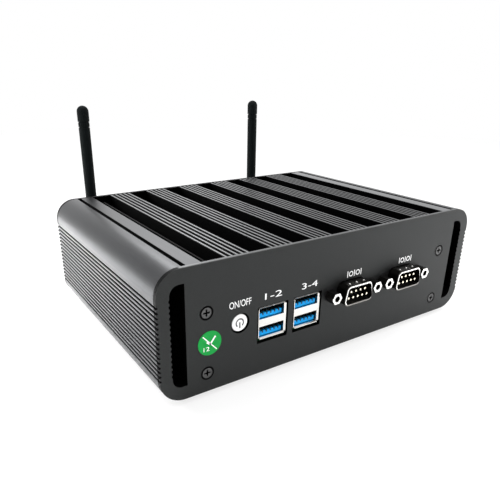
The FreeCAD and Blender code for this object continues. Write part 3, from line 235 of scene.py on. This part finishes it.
panelFinish = {
    "shades": ("#2f3030", "#383939"),
    "roughness": (0.44, 0.54),
    "gritMm": 0.35,                  # blasted grit, drawn coarser than the real 0.1 mm so that it shows
    "bumpMm": 0.015, "bumpStrength": 0.3,
    "places": [
        # painted shade, black, on both plates' outer edges, and a painted highlight, pale, on the front
        # plate's upper edge
        {"from": (leftX, plateSkin, 0.05), "to": (rightX, depth - plateSkin, overZ), "soft": 0.04,
         "shade": "#0e0e0f", "roughness": 0.6},
        {"from": (-78.5, plateSkin, 50), "to": (78.5, depth / 2, overZ), "soft": 1.1,
         "shade": "#6a6b6c", "roughness": 0.4},
        # painted shade, black, on the walls of the holes, and of the slots at the air ducts
        {"from": (-77, plateSkin, 0.05), "to": (77, depth - plateSkin, 53.7), "soft": 0.04,
         "shade": "#050505", "roughness": 0.7},
        {"from": (-86.5, plateSkin, 10), "to": (86.5, depth - plateSkin, 43), "soft": 0.04,
         "shade": "#050505", "roughness": 0.7},
    ],
}


# aluminium plate, blasted and anodised black: an even, fine matte grit on the faces, painted shade,
# matt black, at the outer edges and in the holes, and a painted highlight on one upper edge
def blastedAnodisedPlate():
    material, tree, shader, spot = startMaterial("blastedAnodisedPlate", 1.0)
    grain = addNode(tree, "ShaderNodeMapping", {"Scale": perMm(*[panelFinish["gritMm"]] * 3)},
                    {"Vector": spot})
    grit = addNode(tree, "ShaderNodeTexNoise", {"Scale": 1.0, "Detail": 3.0, "Roughness": 0.6},
                   {"Vector": grain.outputs["Vector"]})
    finishFrom(tree, shader, spot, grit.outputs["Fac"], panelFinish)
    return material


# painted shade on the serial sockets' rims, in mm across and up from each socket's middle
serialRims = {
    "sockets": ("serial_port_left_shell", "serial_port_right_shell"),
    "endY": -0.5,                    # a rim ends this far before the panel
    "low": -5.9,
    "sides": [
        {"from": -8.5, "to": 8.9, "top": -3.5, "soft": 0.3, "shade": "#8b8985"},    # painted shade on the low side, duller
        {"from": 7.3, "to": 9.5, "top": 3.1, "soft": 0.4, "shade": "#3d3b39"},      # painted shade on the right side, dark
    ],
}


# the painted shade on both rims' low and right sides
def rimPlaces():
    places = []
    for socket in serialRims["sockets"]:
        x, y, z = frontOf(socket)
        for side in serialRims["sides"]:
            places.append({"from": (x + side["from"], y - 1, z + serialRims["low"]),
                           "to": (x + side["to"], serialRims["endY"], z + side["top"]),
                           "soft": side["soft"], "shade": side["shade"], "roughness": 0.3})
    return places


metalFinishes = {
    # grey heads, and black deeper than 0.4 mm in from the panels' faces
    "blackOxideSteel": {
        "shades": ("#515151", "#5a5a5a"), "roughness": (0.4, 0.5), "grainMm": 0.4,
        "places": [
            {"from": (leftX, 0.4, underZ), "to": (rightX, depth - 0.4, overZ), "soft": 0.1,
             "shade": "#101010", "roughness": 0.45},
        ],
    },
    # painted shadow for the rings round the front screws' heads
    "countersinkShadow": {"shades": ("#050505", "#090909"), "roughness": (0.6, 0.7), "grainMm": 0.4},
    "blackOxideBolt": {"shades": ("#262626", "#333333"), "roughness": (0.35, 0.45), "grainMm": 0.4},
    "zincPlatedSteel": {"shades": ("#b9bbbd", "#cfd0d1"), "roughness": (0.25, 0.38), "grainMm": 0.6},
    # a painted dark reflection, greyer, on the flared upper lips of the front sockets
    "nickelPlate": {
        "shades": ("#d2d0cc", "#e4e2de"), "roughness": (0.16, 0.26), "grainMm": 0.8,
        "places": [
            {"from": (-60, nearY, 29.25), "to": (0, 1.4, overZ), "soft": 0.1,
             "shade": "#84827e", "roughness": 0.3},
        ],
    },
    # painted dark reflection on the sides, painted highlights on the ends and the dimples on top;
    # each rim with painted shade along its low side and on its right
    "paintedLightTin": {
        "shades": ("#2e2d2b", "#3d3b39"), "roughness": (0.25, 0.35), "grainMm": 0.5,
        "places": [
            {"mask": facingPanels, "shade": "#f2f1ee", "roughness": 0.25},
            {"from": (leftX, nearY, 31.7), "to": (rightX, farY, overZ), "soft": 0.1,
             "shade": "#f2f1ee", "roughness": 0.25},
            *rimPlaces(),
        ],
    },
    # painted highlights on the faces turned along the depth
    "paintedLightTinRear": {
        "shades": ("#8e8c88", "#a19f9b"), "roughness": (0.25, 0.35), "grainMm": 0.5,
        "places": [{"mask": facingPanels, "shade": "#e8e6e2", "roughness": 0.25}],
    },
    "goldFlash": {"shades": ("#d9b45c", "#ecd08a"), "roughness": (0.2, 0.3), "grainMm": 0.5},
    # painted shade on the sides and a painted highlight on the ends
    "paintedLightGoldPin": {
        "shades": ("#3a3222", "#4c4330"), "roughness": (0.25, 0.35), "grainMm": 0.5,
        "places": [{"mask": facingPanels, "shade": "#f4ecd6", "roughness": 0.25}],
    },
    "turnedBrass": {"shades": ("#b89a58", "#ceb274"), "roughness": (0.22, 0.34), "grainMm": 0.4},
    "milledAluminium": {"shades": ("#a9abad", "#c3c4c6"), "roughness": (0.3, 0.45), "grainMm": 0.8},
}


# plated, oxidised or bare metal: faint clouding of the surface under an even gloss,
# with painted highlights and painted shade where a finish's places ask for them
def platedMetal(name):
    finish = {"bumpMm": 0.006, "bumpStrength": 0.25, **metalFinishes[name]}
    material, tree, shader, spot = startMaterial(name, 1.0)
    grain = addNode(tree, "ShaderNodeMapping", {"Scale": perMm(*[finish["grainMm"]] * 3)}, {"Vector": spot})
    cloud = addNode(tree, "ShaderNodeTexNoise", {"Scale": 1.0, "Detail": 3.0},
                    {"Vector": grain.outputs["Vector"]})
    finishFrom(tree, shader, spot, cloud.outputs["Fac"], finish)
    return material


plasticFinishes = {
    "blackNylon": {
        "shades": ("#0d0d0d", "#141415"), "roughness": (0.42, 0.55),
        "grainMm": 0.4, "ior": 1.53, "shine": 0.3,
    },
    # painted shade: darker and darker the deeper the tongue lies in the socket
    "blueNylon": {
        "shades": ("#0092dc", "#00a2ee"), "roughness": (0.35, 0.45),
        "grainMm": 0.4, "ior": 1.53, "shine": 0.15,
        "places": [
            {"from": (leftX, 1.65, underZ), "to": (rightX, farY, overZ), "soft": 1.4,
             "shade": "#021119", "roughness": 0.5},
        ],
    },
    "monitorBlueNylon": {
        "shades": ("#16409a", "#1d4fb4"), "roughness": (0.35, 0.45),
        "grainMm": 0.4, "ior": 1.53, "shine": 0.5,
    },
    # a white cap, black with painted shade on its sides deeper than 0.37 mm
    "whiteAbs": {
        "shades": ("#f2f2f2", "#fbfbfb"), "roughness": (0.28, 0.36),
        "grainMm": 0.5, "ior": 1.54, "shine": 0.5,
        "places": [
            {"from": (leftX, 0.37, underZ), "to": (rightX, farY, overZ), "soft": 0.1,
             "shade": "#070707", "roughness": 0.5},
        ],
    },
    "antennaRubber": {
        "shades": ("#070a0a", "#0d1112"), "roughness": (0.55, 0.65),
        "grainMm": 0.5, "ior": 1.52, "shine": 0.05,
    },
    "footRubber": {
        "shades": ("#121212", "#1b1b1b"), "roughness": (0.7, 0.85),
        "grainMm": 0.5, "ior": 1.52, "shine": 0.3,
    },
    "blackEpoxy": {
        "shades": ("#1b1b1d", "#242427"), "roughness": (0.5, 0.62),
        "grainMm": 0.3, "ior": 1.55, "shine": 0.5,
    },
    "greenVinyl": {
        "shades": ("#00923a", "#049c40"), "roughness": (0.35, 0.45),
        "grainMm": 1.2, "ior": 1.5, "shine": 0.2,
    },
    "whiteInk": {
        "shades": ("#f4f4f4", "#ffffff"), "roughness": (0.45, 0.55),
        "grainMm": 0.3, "ior": 1.5, "shine": 0.5,
    },
    "greyInk": {
        "shades": ("#525254", "#5c5c5e"), "roughness": (0.45, 0.55),
        "grainMm": 0.3, "ior": 1.5, "shine": 0.3,
    },
}


# moulded plastic, rubber or printed ink: fine spark texture with a soft sheen
def mouldedPlastic(name):
    finish = {"bumpMm": 0.008, "bumpStrength": 0.3, **plasticFinishes[name]}
    material, tree, shader, spot = startMaterial(name, 0.0, IOR=finish["ior"],
                                                 Specular_IOR_Level=finish["shine"])
    grain = addNode(tree, "ShaderNodeMapping", {"Scale": perMm(*[finish["grainMm"]] * 3)}, {"Vector": spot})
    speck = addNode(tree, "ShaderNodeTexNoise", {"Scale": 1.0, "Detail": 2.0},
                    {"Vector": grain.outputs["Vector"]})
    finishFrom(tree, shader, spot, speck.outputs["Fac"], finish)
    return material


boardFinish = {
    "shades": ("#0c4a24", "#1a6b38"),
    "trackMm": 2.2,
    "trackEdge": (0.04, 0.08),       # the track ends between these shares of a cell
    "roughness": (0.3, 0.42),
    "bumpMm": 0.03, "bumpStrength": 0.5,
}


# glass epoxy board under green lacquer: copper tracks show as paler lines
def lacqueredBoard():
    start, end = boardFinish["trackEdge"]
    material, tree, shader, spot = startMaterial("lacqueredBoard", 0.0, IOR=1.55)
    grain = addNode(tree, "ShaderNodeMapping", {"Scale": perMm(*[boardFinish["trackMm"]] * 3)},
                    {"Vector": spot})
    cells = addNode(tree, "ShaderNodeTexVoronoi", {"feature": "DISTANCE_TO_EDGE", "Scale": 1.0},
                    {"Vector": grain.outputs["Vector"]})
    tracks = addNode(tree, "ShaderNodeMapRange",
                     {"From Min": start, "From Max": end, "To Min": 1.0, "To Max": 0.0},
                     {"Value": cells.outputs["Distance"]})
    finishFrom(tree, shader, spot, tracks.outputs["Result"], boardFinish)
    return material


finishes = {"extrusion": blackAnodisedExtrusion(), "plate": blastedAnodisedPlate(), "board": lacqueredBoard()}
finishes.update({name: platedMetal(name) for name in metalFinishes})
finishes.update({name: mouldedPlastic(name) for name in plasticFinishes})

# which CAD nodes wear which finish
worn = {
    "extrusion": ["housing"],
    "plate": ["front_panel", "rear_panel", "bottom_cover"],
    "board": ["main_board", "memory_module", "solid_state_drive", "radio_card"],
    "blackOxideSteel": ["front_panel_screws", "rear_panel_screws"],
    "blackOxideBolt": ["bottom_cover_screws"],
    "zincPlatedSteel": ["board_screws", "heat_block_screws", "clock_cell", "power_inlet_pin",
                        "antenna_hinge_pin_left", "antenna_hinge_pin_right"],
    "nickelPlate": ["front_usb_left_shell", "front_usb_right_shell", "rear_usb_shell", "video_port_shell",
                    "network_port_shell"],
    "paintedLightTin": ["serial_port_left_shell", "serial_port_right_shell", "serial_port_jackscrews"],
    "paintedLightTinRear": ["monitor_port_shell", "monitor_port_jackscrews"],
    "goldFlash": ["front_usb_left_contacts", "front_usb_right_contacts", "rear_usb_contacts",
                  "network_port_contacts", "antenna_jack_left", "antenna_jack_right", "antenna_jack_nuts"],
    "paintedLightGoldPin": ["serial_port_left_pins", "serial_port_right_pins"],
    "turnedBrass": ["board_standoffs"],
    "milledAluminium": ["heat_block"],
    "blackNylon": ["serial_port_left_insulator", "serial_port_right_insulator", "rear_usb_tongues",
                   "memory_socket", "drive_socket", "radio_socket", "clock_cell_holder", "power_switch",
                   "power_inlet", "video_port_insert", "audio_jacks"],
    "blueNylon": ["front_usb_left_tongues", "front_usb_right_tongues"],
    "monitorBlueNylon": ["monitor_port_insulator"],
    "whiteAbs": ["power_button"],
    "antennaRubber": ["antenna_elbow_left", "antenna_elbow_right", "antenna_whip_left", "antenna_whip_right"],
    "footRubber": ["rubber_feet"],
    "blackEpoxy": ["processor"],
    "greenVinyl": ["inspection_sticker"],
}
for finish, names in worn.items():
    for name in names:
        mesh = nodes[name].data
        mesh.materials.clear()
        mesh.materials.append(finishes[finish])
bare = sorted(set(nodes) - {name for names in worn.values() for name in names})
print("finishes on, nodes without one:", bare)


# a new piece from what bm holds, which wears a finish and rides on a body of the CAD
def addPiece(name, bm, finish, body):
    bmesh.ops.remove_doubles(bm, verts=bm.verts, dist=weld)
    bmesh.ops.recalc_face_normals(bm, faces=bm.faces)
    mesh = bpy.data.meshes.new(name)
    bm.to_mesh(mesh)
    bm.free()
    piece = bpy.data.objects.new(name, mesh)
    bpy.context.collection.objects.link(piece)
    mesh.materials.append(finishes[finish])
    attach(piece, body)


# a block between two corners
def addBlock(bm, low, high):
    size = high - low
    middle = (low + high) / 2
    bmesh.ops.create_cube(bm, size=1.0, matrix=Matrix.Translation(middle) @ Matrix.Diagonal((*size, 1.0)))


# a flat ring facing the front, open over a gap below if asked
def addRing(bm, centre, outer, inner, depth, gap=0.0, steps=40):
    start = math.radians(-90 + gap / 2)
    sweep = math.radians(360 - gap)
    out = Vector((math.cos(start), 0, math.sin(start)))
    back = Vector((0, depth, 0))
    corners = [centre + out * inner, centre + out * outer,
               centre + out * outer + back, centre + out * inner + back]
    verts = [bm.verts.new(corner) for corner in corners]
    edges = [bm.edges.new((verts[i], verts[(i + 1) % 4])) for i in range(4)]
    swept = bmesh.ops.spin(bm, geom=verts + edges, cent=centre, axis=(0, -1, 0), angle=sweep, steps=steps,
                           use_merge=gap == 0, use_duplicate=False)
    if gap:
        last = [item for item in swept["geom_last"] if isinstance(item, bmesh.types.BMEdge)]
        bmesh.ops.contextual_create(bm, geom=edges)
        bmesh.ops.contextual_create(bm, geom=last)


# lettering made solid and stretched to a width and height, standing on the front panel
def addLettering(bm, text, centre, width, height, depth):
    curve = bpy.data.curves.new(text, "FONT")
    curve.body = text
    curve.resolution_u = 4
    holder = bpy.data.objects.new(text, curve)
    bpy.context.collection.objects.link(holder)
    flat = bpy.data.meshes.new_from_object(holder.evaluated_get(bpy.context.evaluated_depsgraph_get()))
    bpy.data.objects.remove(holder)
    glyphs = bmesh.new()
    glyphs.from_mesh(flat)
    xs = [v.co.x for v in glyphs.verts]
    ys = [v.co.y for v in glyphs.verts]
    middle = Vector(((min(xs) + max(xs)) / 2, (min(ys) + max(ys)) / 2, 0))
    stretch = (width / (max(xs) - min(xs)), height / (max(ys) - min(ys)), 1)
    upright = Matrix.Rotation(math.radians(90), 3, "X")
    bmesh.ops.translate(glyphs, verts=glyphs.verts, vec=-middle)
    bmesh.ops.scale(glyphs, verts=glyphs.verts, vec=stretch)
    raised = bmesh.ops.extrude_face_region(glyphs, geom=glyphs.faces[:], use_keep_orig=True)
    lifted = [item for item in raised["geom"] if isinstance(item, bmesh.types.BMVert)]
    bmesh.ops.translate(glyphs, verts=lifted, vec=(0, 0, depth))
    bmesh.ops.rotate(glyphs, verts=glyphs.verts, cent=(0, 0, 0), matrix=upright)
    bmesh.ops.translate(glyphs, verts=glyphs.verts, vec=centre)
    glyphs.to_mesh(flat)
    glyphs.free()
    bm.from_mesh(flat)


panelMarks = {
    "ink": 0.03,                     # thickness of the print
    "power": {"text": "ON/OFF", "x": -52.5, "z": 34.55, "width": 10.2, "height": 2.9},
    "usb": {"texts": ("1-2", "3-4"), "x": (-36.5, -17.45), "z": 34.6, "width": 8.6, "height": 2.7},
    "serial": {"x": (8.5, 42.25), "z": 34.55, "width": 8.6, "height": 3.0,
               "signs": 5, "bar": 0.45, "ringOuter": 1.3, "ringInner": 0.85},
}


# a serial sign: bars and rings in turn
def addSerialSign(bm, x, sign, ink):
    side = sign["bar"] / 2
    low, high = sign["z"] - sign["height"] / 2, sign["z"] + sign["height"] / 2
    pitch = (sign["width"] - sign["bar"]) / (sign["signs"] - 1)
    for step in range(sign["signs"]):
        middle = x - sign["width"] / 2 + side + step * pitch
        if step % 2 == 0:
            addBlock(bm, at(middle - side, -ink, low), at(middle + side, 0, high))
        else:
            addRing(bm, at(middle, -ink, sign["z"]), sign["ringOuter"] * mm, sign["ringInner"] * mm, ink * mm)


def printPanelMarks():
    marks = panelMarks
    bm = bmesh.new()
    power, usb, serial = marks["power"], marks["usb"], marks["serial"]
    addLettering(bm, power["text"], at(power["x"], 0, power["z"]),
                 power["width"] * mm, power["height"] * mm, marks["ink"] * mm)
    for text, x in zip(usb["texts"], usb["x"]):
        addLettering(bm, text, at(x, 0, usb["z"]), usb["width"] * mm, usb["height"] * mm, marks["ink"] * mm)
    for x in serial["x"]:
        addSerialSign(bm, x, serial, marks["ink"])
    addPiece("panelMarks", bm, "whiteInk", "case")


buttonSign = {
    "outer": 2.0, "inner": 1.4,
    "gap": 80.0,                     # degrees left open below
    "barWidth": 0.6, "barTop": 0.3, "barBottom": -2.3,
    "ink": 0.03,
}


def printButtonSign():
    sign = buttonSign
    bm = bmesh.new()
    x, face, z = frontOf("power_button")
    front = face - sign["ink"]
    side = sign["barWidth"] / 2
    addRing(bm, at(x, front, z), sign["outer"] * mm, sign["inner"] * mm, sign["ink"] * mm, sign["gap"])
    addBlock(bm, at(x - side, front, z + sign["barBottom"]), at(x + side, face, z + sign["barTop"]))
    addPiece("buttonSign", bm, "greyInk", "power_button")


stickerMarks = {
    "ink": 0.03,
    "lineLength": 8.6, "lineWidth": 0.42, "lineTurn": -48.0,
    "tick": ((-1.0, 0.4), (0.1, -0.6), (2.3, 2.2)), "tickWidth": 0.7,
    "number": {"text": "12", "x": -1.5, "z": -2.3, "width": 2.6, "height": 1.8},
}


# a stroke between two points of the sticker's face
def addStroke(bm, first, last, width, front, back):
    run = Vector(last) - Vector(first)
    turn = math.atan2(run.y, run.x)
    middle = (Vector(first) + Vector(last)) / 2
    made = bmesh.ops.create_cube(bm, size=1.0)["verts"]
    bmesh.ops.scale(bm, verts=made, vec=((run.length + width) * mm, (back - front) * mm, width * mm))
    bmesh.ops.rotate(bm, verts=made, cent=(0, 0, 0), matrix=Matrix.Rotation(-turn, 3, "Y"))
    bmesh.ops.translate(bm, verts=made, vec=at(middle.x, (front + back) / 2, middle.y))


def printStickerMarks():
    marks = stickerMarks
    bm = bmesh.new()
    x, face, z = frontOf("inspection_sticker")
    front = face - marks["ink"]
    lean = math.radians(marks["lineTurn"])
    reachX = marks["lineLength"] / 2 * math.cos(lean)
    reachZ = marks["lineLength"] / 2 * math.sin(lean)
    addStroke(bm, (x - reachX, z - reachZ), (x + reachX, z + reachZ), marks["lineWidth"], front, face)
    points = [(x + right, z + up) for right, up in marks["tick"]]
    for first, last in zip(points, points[1:]):
        addStroke(bm, first, last, marks["tickWidth"], front, face)
    number = marks["number"]
    addLettering(bm, number["text"], at(x + number["x"], face, z + number["z"]),
                 number["width"] * mm, number["height"] * mm, marks["ink"] * mm)
    addPiece("stickerMarks", bm, "whiteInk", "case")


printPanelMarks()
printButtonSign()
printStickerMarks()
print("marks printed")


usbSprings = {
    # each socket with the panel's face that it stands in, and the way into the case
    "stacks": {"FrontLeft": ("front_usb_left_shell", 0.0, 1), "FrontRight": ("front_usb_right_shell", 0.0, 1),
               "Rear": ("rear_usb_shell", depth, -1)},
    "across": (-6.0, -3.9, -1.8, 0.3),
    "width": 0.9, "thickness": 0.2,
    "start": (0.05, 29.95), "end": (0.95, 29.45),    # depth and height along the flared upper lip
    "rise": 0.4,
    "sideFall": 0.5,                 # share of the rise that is lost at a tab's sides
}


# small sprung tabs bowed up from the upper lip of each double socket, which touch the panel
def pressUsbSprings():
    springs = usbSprings
    startY, startZ = springs["start"]
    endY, endZ = springs["end"]
    for name, (shell, y, way) in springs["stacks"].items():
        x = frontOf(shell)[0]
        bm = bmesh.new()
        for offset in springs["across"]:
            made = bmesh.ops.create_grid(bm, x_segments=4, y_segments=8, size=0.5)
            for vert in made["verts"]:
                across = vert.co.x * 2
                along = vert.co.y + 0.5
                bow = math.sin(math.pi * along) * (1 - springs["sideFall"] * across ** 2) * springs["rise"]
                vert.co = at(x + offset + across / 2 * springs["width"],
                             y + way * (startY + along * (endY - startY)),
                             startZ + along * (endZ - startZ) + bow)
        bmesh.ops.solidify(bm, geom=bm.faces[:], thickness=springs["thickness"] * mm)
        addPiece("usbSprings" + name, bm, "zincPlatedSteel", "case")


pressUsbSprings()
print("springs pressed")


usbSlotShades = {
    "stacks": {"FrontLeft": "front_usb_left_tongues", "FrontRight": "front_usb_right_tongues"},
    "across": (-4.0, -2.0, 0.0, 2.0, 4.0),
    "tops": (18.45, 26.6),           # upper faces of the two tongues
    "width": 1.0, "height": 0.8, "length": 0.6,
    "rounding": 0.2,
    "stand": 0.02,                   # how far the dark blocks of painted shade stand out of the plastic
}


# painted shade: dark blocks in the contact slots, open to the front and the top of each tongue's edge
def shadeUsbSlots():
    slots = usbSlotShades
    side = slots["width"] / 2
    for name, tongues in slots["stacks"].items():
        x, face, _ = frontOf(tongues)
        bm = bmesh.new()
        for top in slots["tops"]:
            for offset in slots["across"]:
                addBlock(bm, at(x + offset - side, face - slots["stand"], top - slots["height"]),
                         at(x + offset + side, face + slots["length"], top + slots["stand"]))
        rims = [edge for edge in bm.edges if abs(edge.verts[0].co.x - edge.verts[1].co.x) < weld]
        bmesh.ops.bevel(bm, geom=rims, offset=slots["rounding"] * mm, segments=3, affect="EDGES")
        addPiece("usbSlotShades" + name, bm, "blackNylon", "case")


shadeUsbSlots()
print("slots lined")


screwShadowRings = {
    "across": (-67.6, 67.6), "heights": (8.3, 34.3),   # the screws' middles
    "outer": 2.8, "inner": 2.2,
    "stand": 0.02,                   # how far the painted shadow rings stand out of the panel
}


# a painted shadow: a black ring on the panel's face round each front screw's head, where the countersink's
# gap lies in shade
def paintScrewShadows():
    rims = screwShadowRings
    bm = bmesh.new()
    for x in rims["across"]:
        for z in rims["heights"]:
            addRing(bm, at(x, -rims["stand"], z), rims["outer"] * mm, rims["inner"] * mm, rims["stand"] * mm)
    addPiece("screwShadowRings", bm, "countersinkShadow", "case")


paintScrewShadows()
print("screws ringed")


floorFinish = {
    "near": "#f6f6f6", "far": "#ffffff",
    "halfWidth": 4.0,                # in m
    "clearMm": 420, "fadeMm": 500,
    "lift": 0.75,                    # how far the camera sees it lifted to white, with a light shadow left
}


# matte white paper round the object, fading to plain white where the camera sees far past it
def paperFloor():
    material, tree, shader, spot = startMaterial("paperFloor", 0.0, IOR=1.45, Roughness=0.85)
    shader.inputs["Base Color"].default_value = srgb(floorFinish["near"])
    start = floorFinish["clearMm"] * mm
    end = start + floorFinish["fadeMm"] * mm
    distance = addNode(tree, "ShaderNodeVectorMath", {"operation": "LENGTH"}, {0: spot})
    fade = addNode(tree, "ShaderNodeMapRange", {"From Min": start, "From Max": end},
                   {"Value": distance.outputs["Value"]})
    path = addNode(tree, "ShaderNodeLightPath")
    lifted = addNode(tree, "ShaderNodeMath", {"operation": "MAXIMUM", 1: floorFinish["lift"]},
                     {0: fade.outputs["Result"]})
    seen = addNode(tree, "ShaderNodeMath", {"operation": "MULTIPLY"},
                   {0: path.outputs["Is Camera Ray"], 1: lifted.outputs["Value"]})
    mirrored = addNode(tree, "ShaderNodeMath", {"operation": "MULTIPLY"},
                       {0: path.outputs["Is Glossy Ray"], 1: fade.outputs["Result"]})
    amount = addNode(tree, "ShaderNodeMath", {"operation": "MAXIMUM"},
                     {0: seen.outputs["Value"], 1: mirrored.outputs["Value"]})
    white = addNode(tree, "ShaderNodeEmission", {"Color": srgb(floorFinish["far"]), "Strength": 1.0})
    mix = addNode(tree, "ShaderNodeMixShader", {},
                  {0: amount.outputs["Value"], 1: shader.outputs["BSDF"], 2: white.outputs["Emission"]})
    tree.links.new(mix.outputs["Shader"], tree.nodes["Material Output"].inputs["Surface"])
    return material


def layFloor():
    bm = bmesh.new()
    bmesh.ops.create_grid(bm, x_segments=1, y_segments=1, size=floorFinish["halfWidth"])
    mesh = bpy.data.meshes.new("floor")
    bm.to_mesh(mesh)
    bm.free()
    mesh.materials.append(paperFloor())
    floor = bpy.data.objects.new("floor", mesh)
    bpy.context.collection.objects.link(floor)


skyLight = {"fill": "#ffffff", "fillStrength": 0.42, "seen": "#ffffff", "seenStrength": 1.0}


# a white surround for the camera and reflections, and a weaker even fill for matte surfaces
def lightTheSky():
    world = bpy.data.worlds.new("whiteSurround")
    bpy.context.scene.world = world
    world.use_nodes = True
    tree = world.node_tree
    fill = tree.nodes["Background"]
    fill.inputs["Color"].default_value = srgb(skyLight["fill"])
    fill.inputs["Strength"].default_value = skyLight["fillStrength"]
    white = addNode(tree, "ShaderNodeBackground",
                    {"Color": srgb(skyLight["seen"]), "Strength": skyLight["seenStrength"]})
    path = addNode(tree, "ShaderNodeLightPath")
    first = addNode(tree, "ShaderNodeMath", {"operation": "MAXIMUM"},
                    {0: path.outputs["Is Camera Ray"], 1: path.outputs["Is Glossy Ray"]})
    seen = addNode(tree, "ShaderNodeMath", {"operation": "MAXIMUM"},
                   {0: first.outputs["Value"], 1: path.outputs["Is Transmission Ray"]})
    mix = addNode(tree, "ShaderNodeMixShader", {},
                  {0: seen.outputs["Value"], 1: fill.outputs["Background"], 2: white.outputs["Background"]})
    tree.links.new(mix.outputs["Shader"], tree.nodes["World Output"].inputs["Surface"])


# softboxes: azimuth round from the front, elevation, distance, size and power
lamps = {
    "overhead": {"azimuth": 170, "elevation": 82, "distance": 1.3, "size": (1.0, 1.0), "power": 11},
    "frontLeft": {"azimuth": -50, "elevation": 40, "distance": 1.3, "size": (0.8, 0.8), "power": 3},
    "frontRight": {"azimuth": 68, "elevation": 12, "distance": 1.0, "size": (0.6, 0.4), "power": 2.6},
    "backRight": {"azimuth": 163, "elevation": 34, "distance": 1.4, "size": (0.4, 0.3), "power": 3.8},
}
lampTarget = (0, 60, 30)             # about the middle of the case, in mm like the parts

# small boxes hung low over the paper, placed in mm like the parts; the metal mirrors the bright
# paper under them, and not the boxes
pools = {
    "leftPool": {"x": -310, "y": 280, "z": 235, "size": 0.3, "power": 4.0},
    "rightPool": {"x": 270, "y": -110, "z": 240, "size": 0.25, "power": 1.4},
}


def hangLamp(name, place, back, size, power):
    light = bpy.data.lights.new(name, "AREA")
    light.shape = "RECTANGLE"
    light.size, light.size_y = size
    light.energy = power
    holder = bpy.data.objects.new(name, light)
    bpy.context.collection.objects.link(holder)
    holder.location = place
    holder.rotation_euler = back.to_track_quat("Z", "Y").to_euler()
    return holder


# the way from the object to a lamp or the camera, from angles in radians
def wayTo(turn, rise):
    return Vector((math.sin(turn) * math.cos(rise), -math.cos(turn) * math.cos(rise), math.sin(rise)))


def hangLamps():
    for name, lamp in lamps.items():
        away = wayTo(math.radians(lamp["azimuth"]), math.radians(lamp["elevation"]))
        hangLamp(name, at(*lampTarget) + away * lamp["distance"], away, lamp["size"], lamp["power"])
    for name, pool in pools.items():
        place = at(pool["x"], pool["y"], pool["z"])
        holder = hangLamp(name, place, Vector((0, 0, 1)), (pool["size"], pool["size"]), pool["power"])
        holder.visible_glossy = False


# the photograph's camera: where it stands, how it is turned and which part of its picture is kept
photoCamera = {
    "x": -152.40, "y": -148.49, "z": 117.59,
    "azimuth": -33.01, "elevation": 22.42, "roll": 0.355,
    "focalPixels": 510.69, "imageWidth": 500, "centreU": 233.23, "centreV": 281.38,
    "sensorWidth": 36, "nearest": 0.01, "farthest": 20,
}


def standCamera():
    view = photoCamera
    roll = math.radians(view["roll"])
    back = wayTo(math.radians(view["azimuth"]), math.radians(view["elevation"]))
    right = Vector((0, 0, 1)).cross(back).normalized()
    up = back.cross(right)
    across = right * math.cos(roll) + up * math.sin(roll)
    upward = up * math.cos(roll) - right * math.sin(roll)
    camera = bpy.data.cameras.new("photoCamera")
    camera.sensor_width = view["sensorWidth"]
    camera.lens = view["focalPixels"] * view["sensorWidth"] / view["imageWidth"]
    camera.shift_x = 0.5 - view["centreU"] / view["imageWidth"]
    camera.shift_y = view["centreV"] / view["imageWidth"] - 0.5
    camera.clip_start = view["nearest"]
    camera.clip_end = view["farthest"]
    holder = bpy.data.objects.new("photoCamera", camera)
    bpy.context.collection.objects.link(holder)
    pose = Matrix((across, upward, back)).transposed().to_4x4()
    holder.matrix_world = Matrix.Translation(at(view["x"], view["y"], view["z"])) @ pose
    bpy.context.scene.camera = holder


layFloor()
lightTheSky()
hangLamps()
standCamera()
bpy.context.scene.view_settings.view_transform = "Standard"
print("floor, lamps and camera ready")
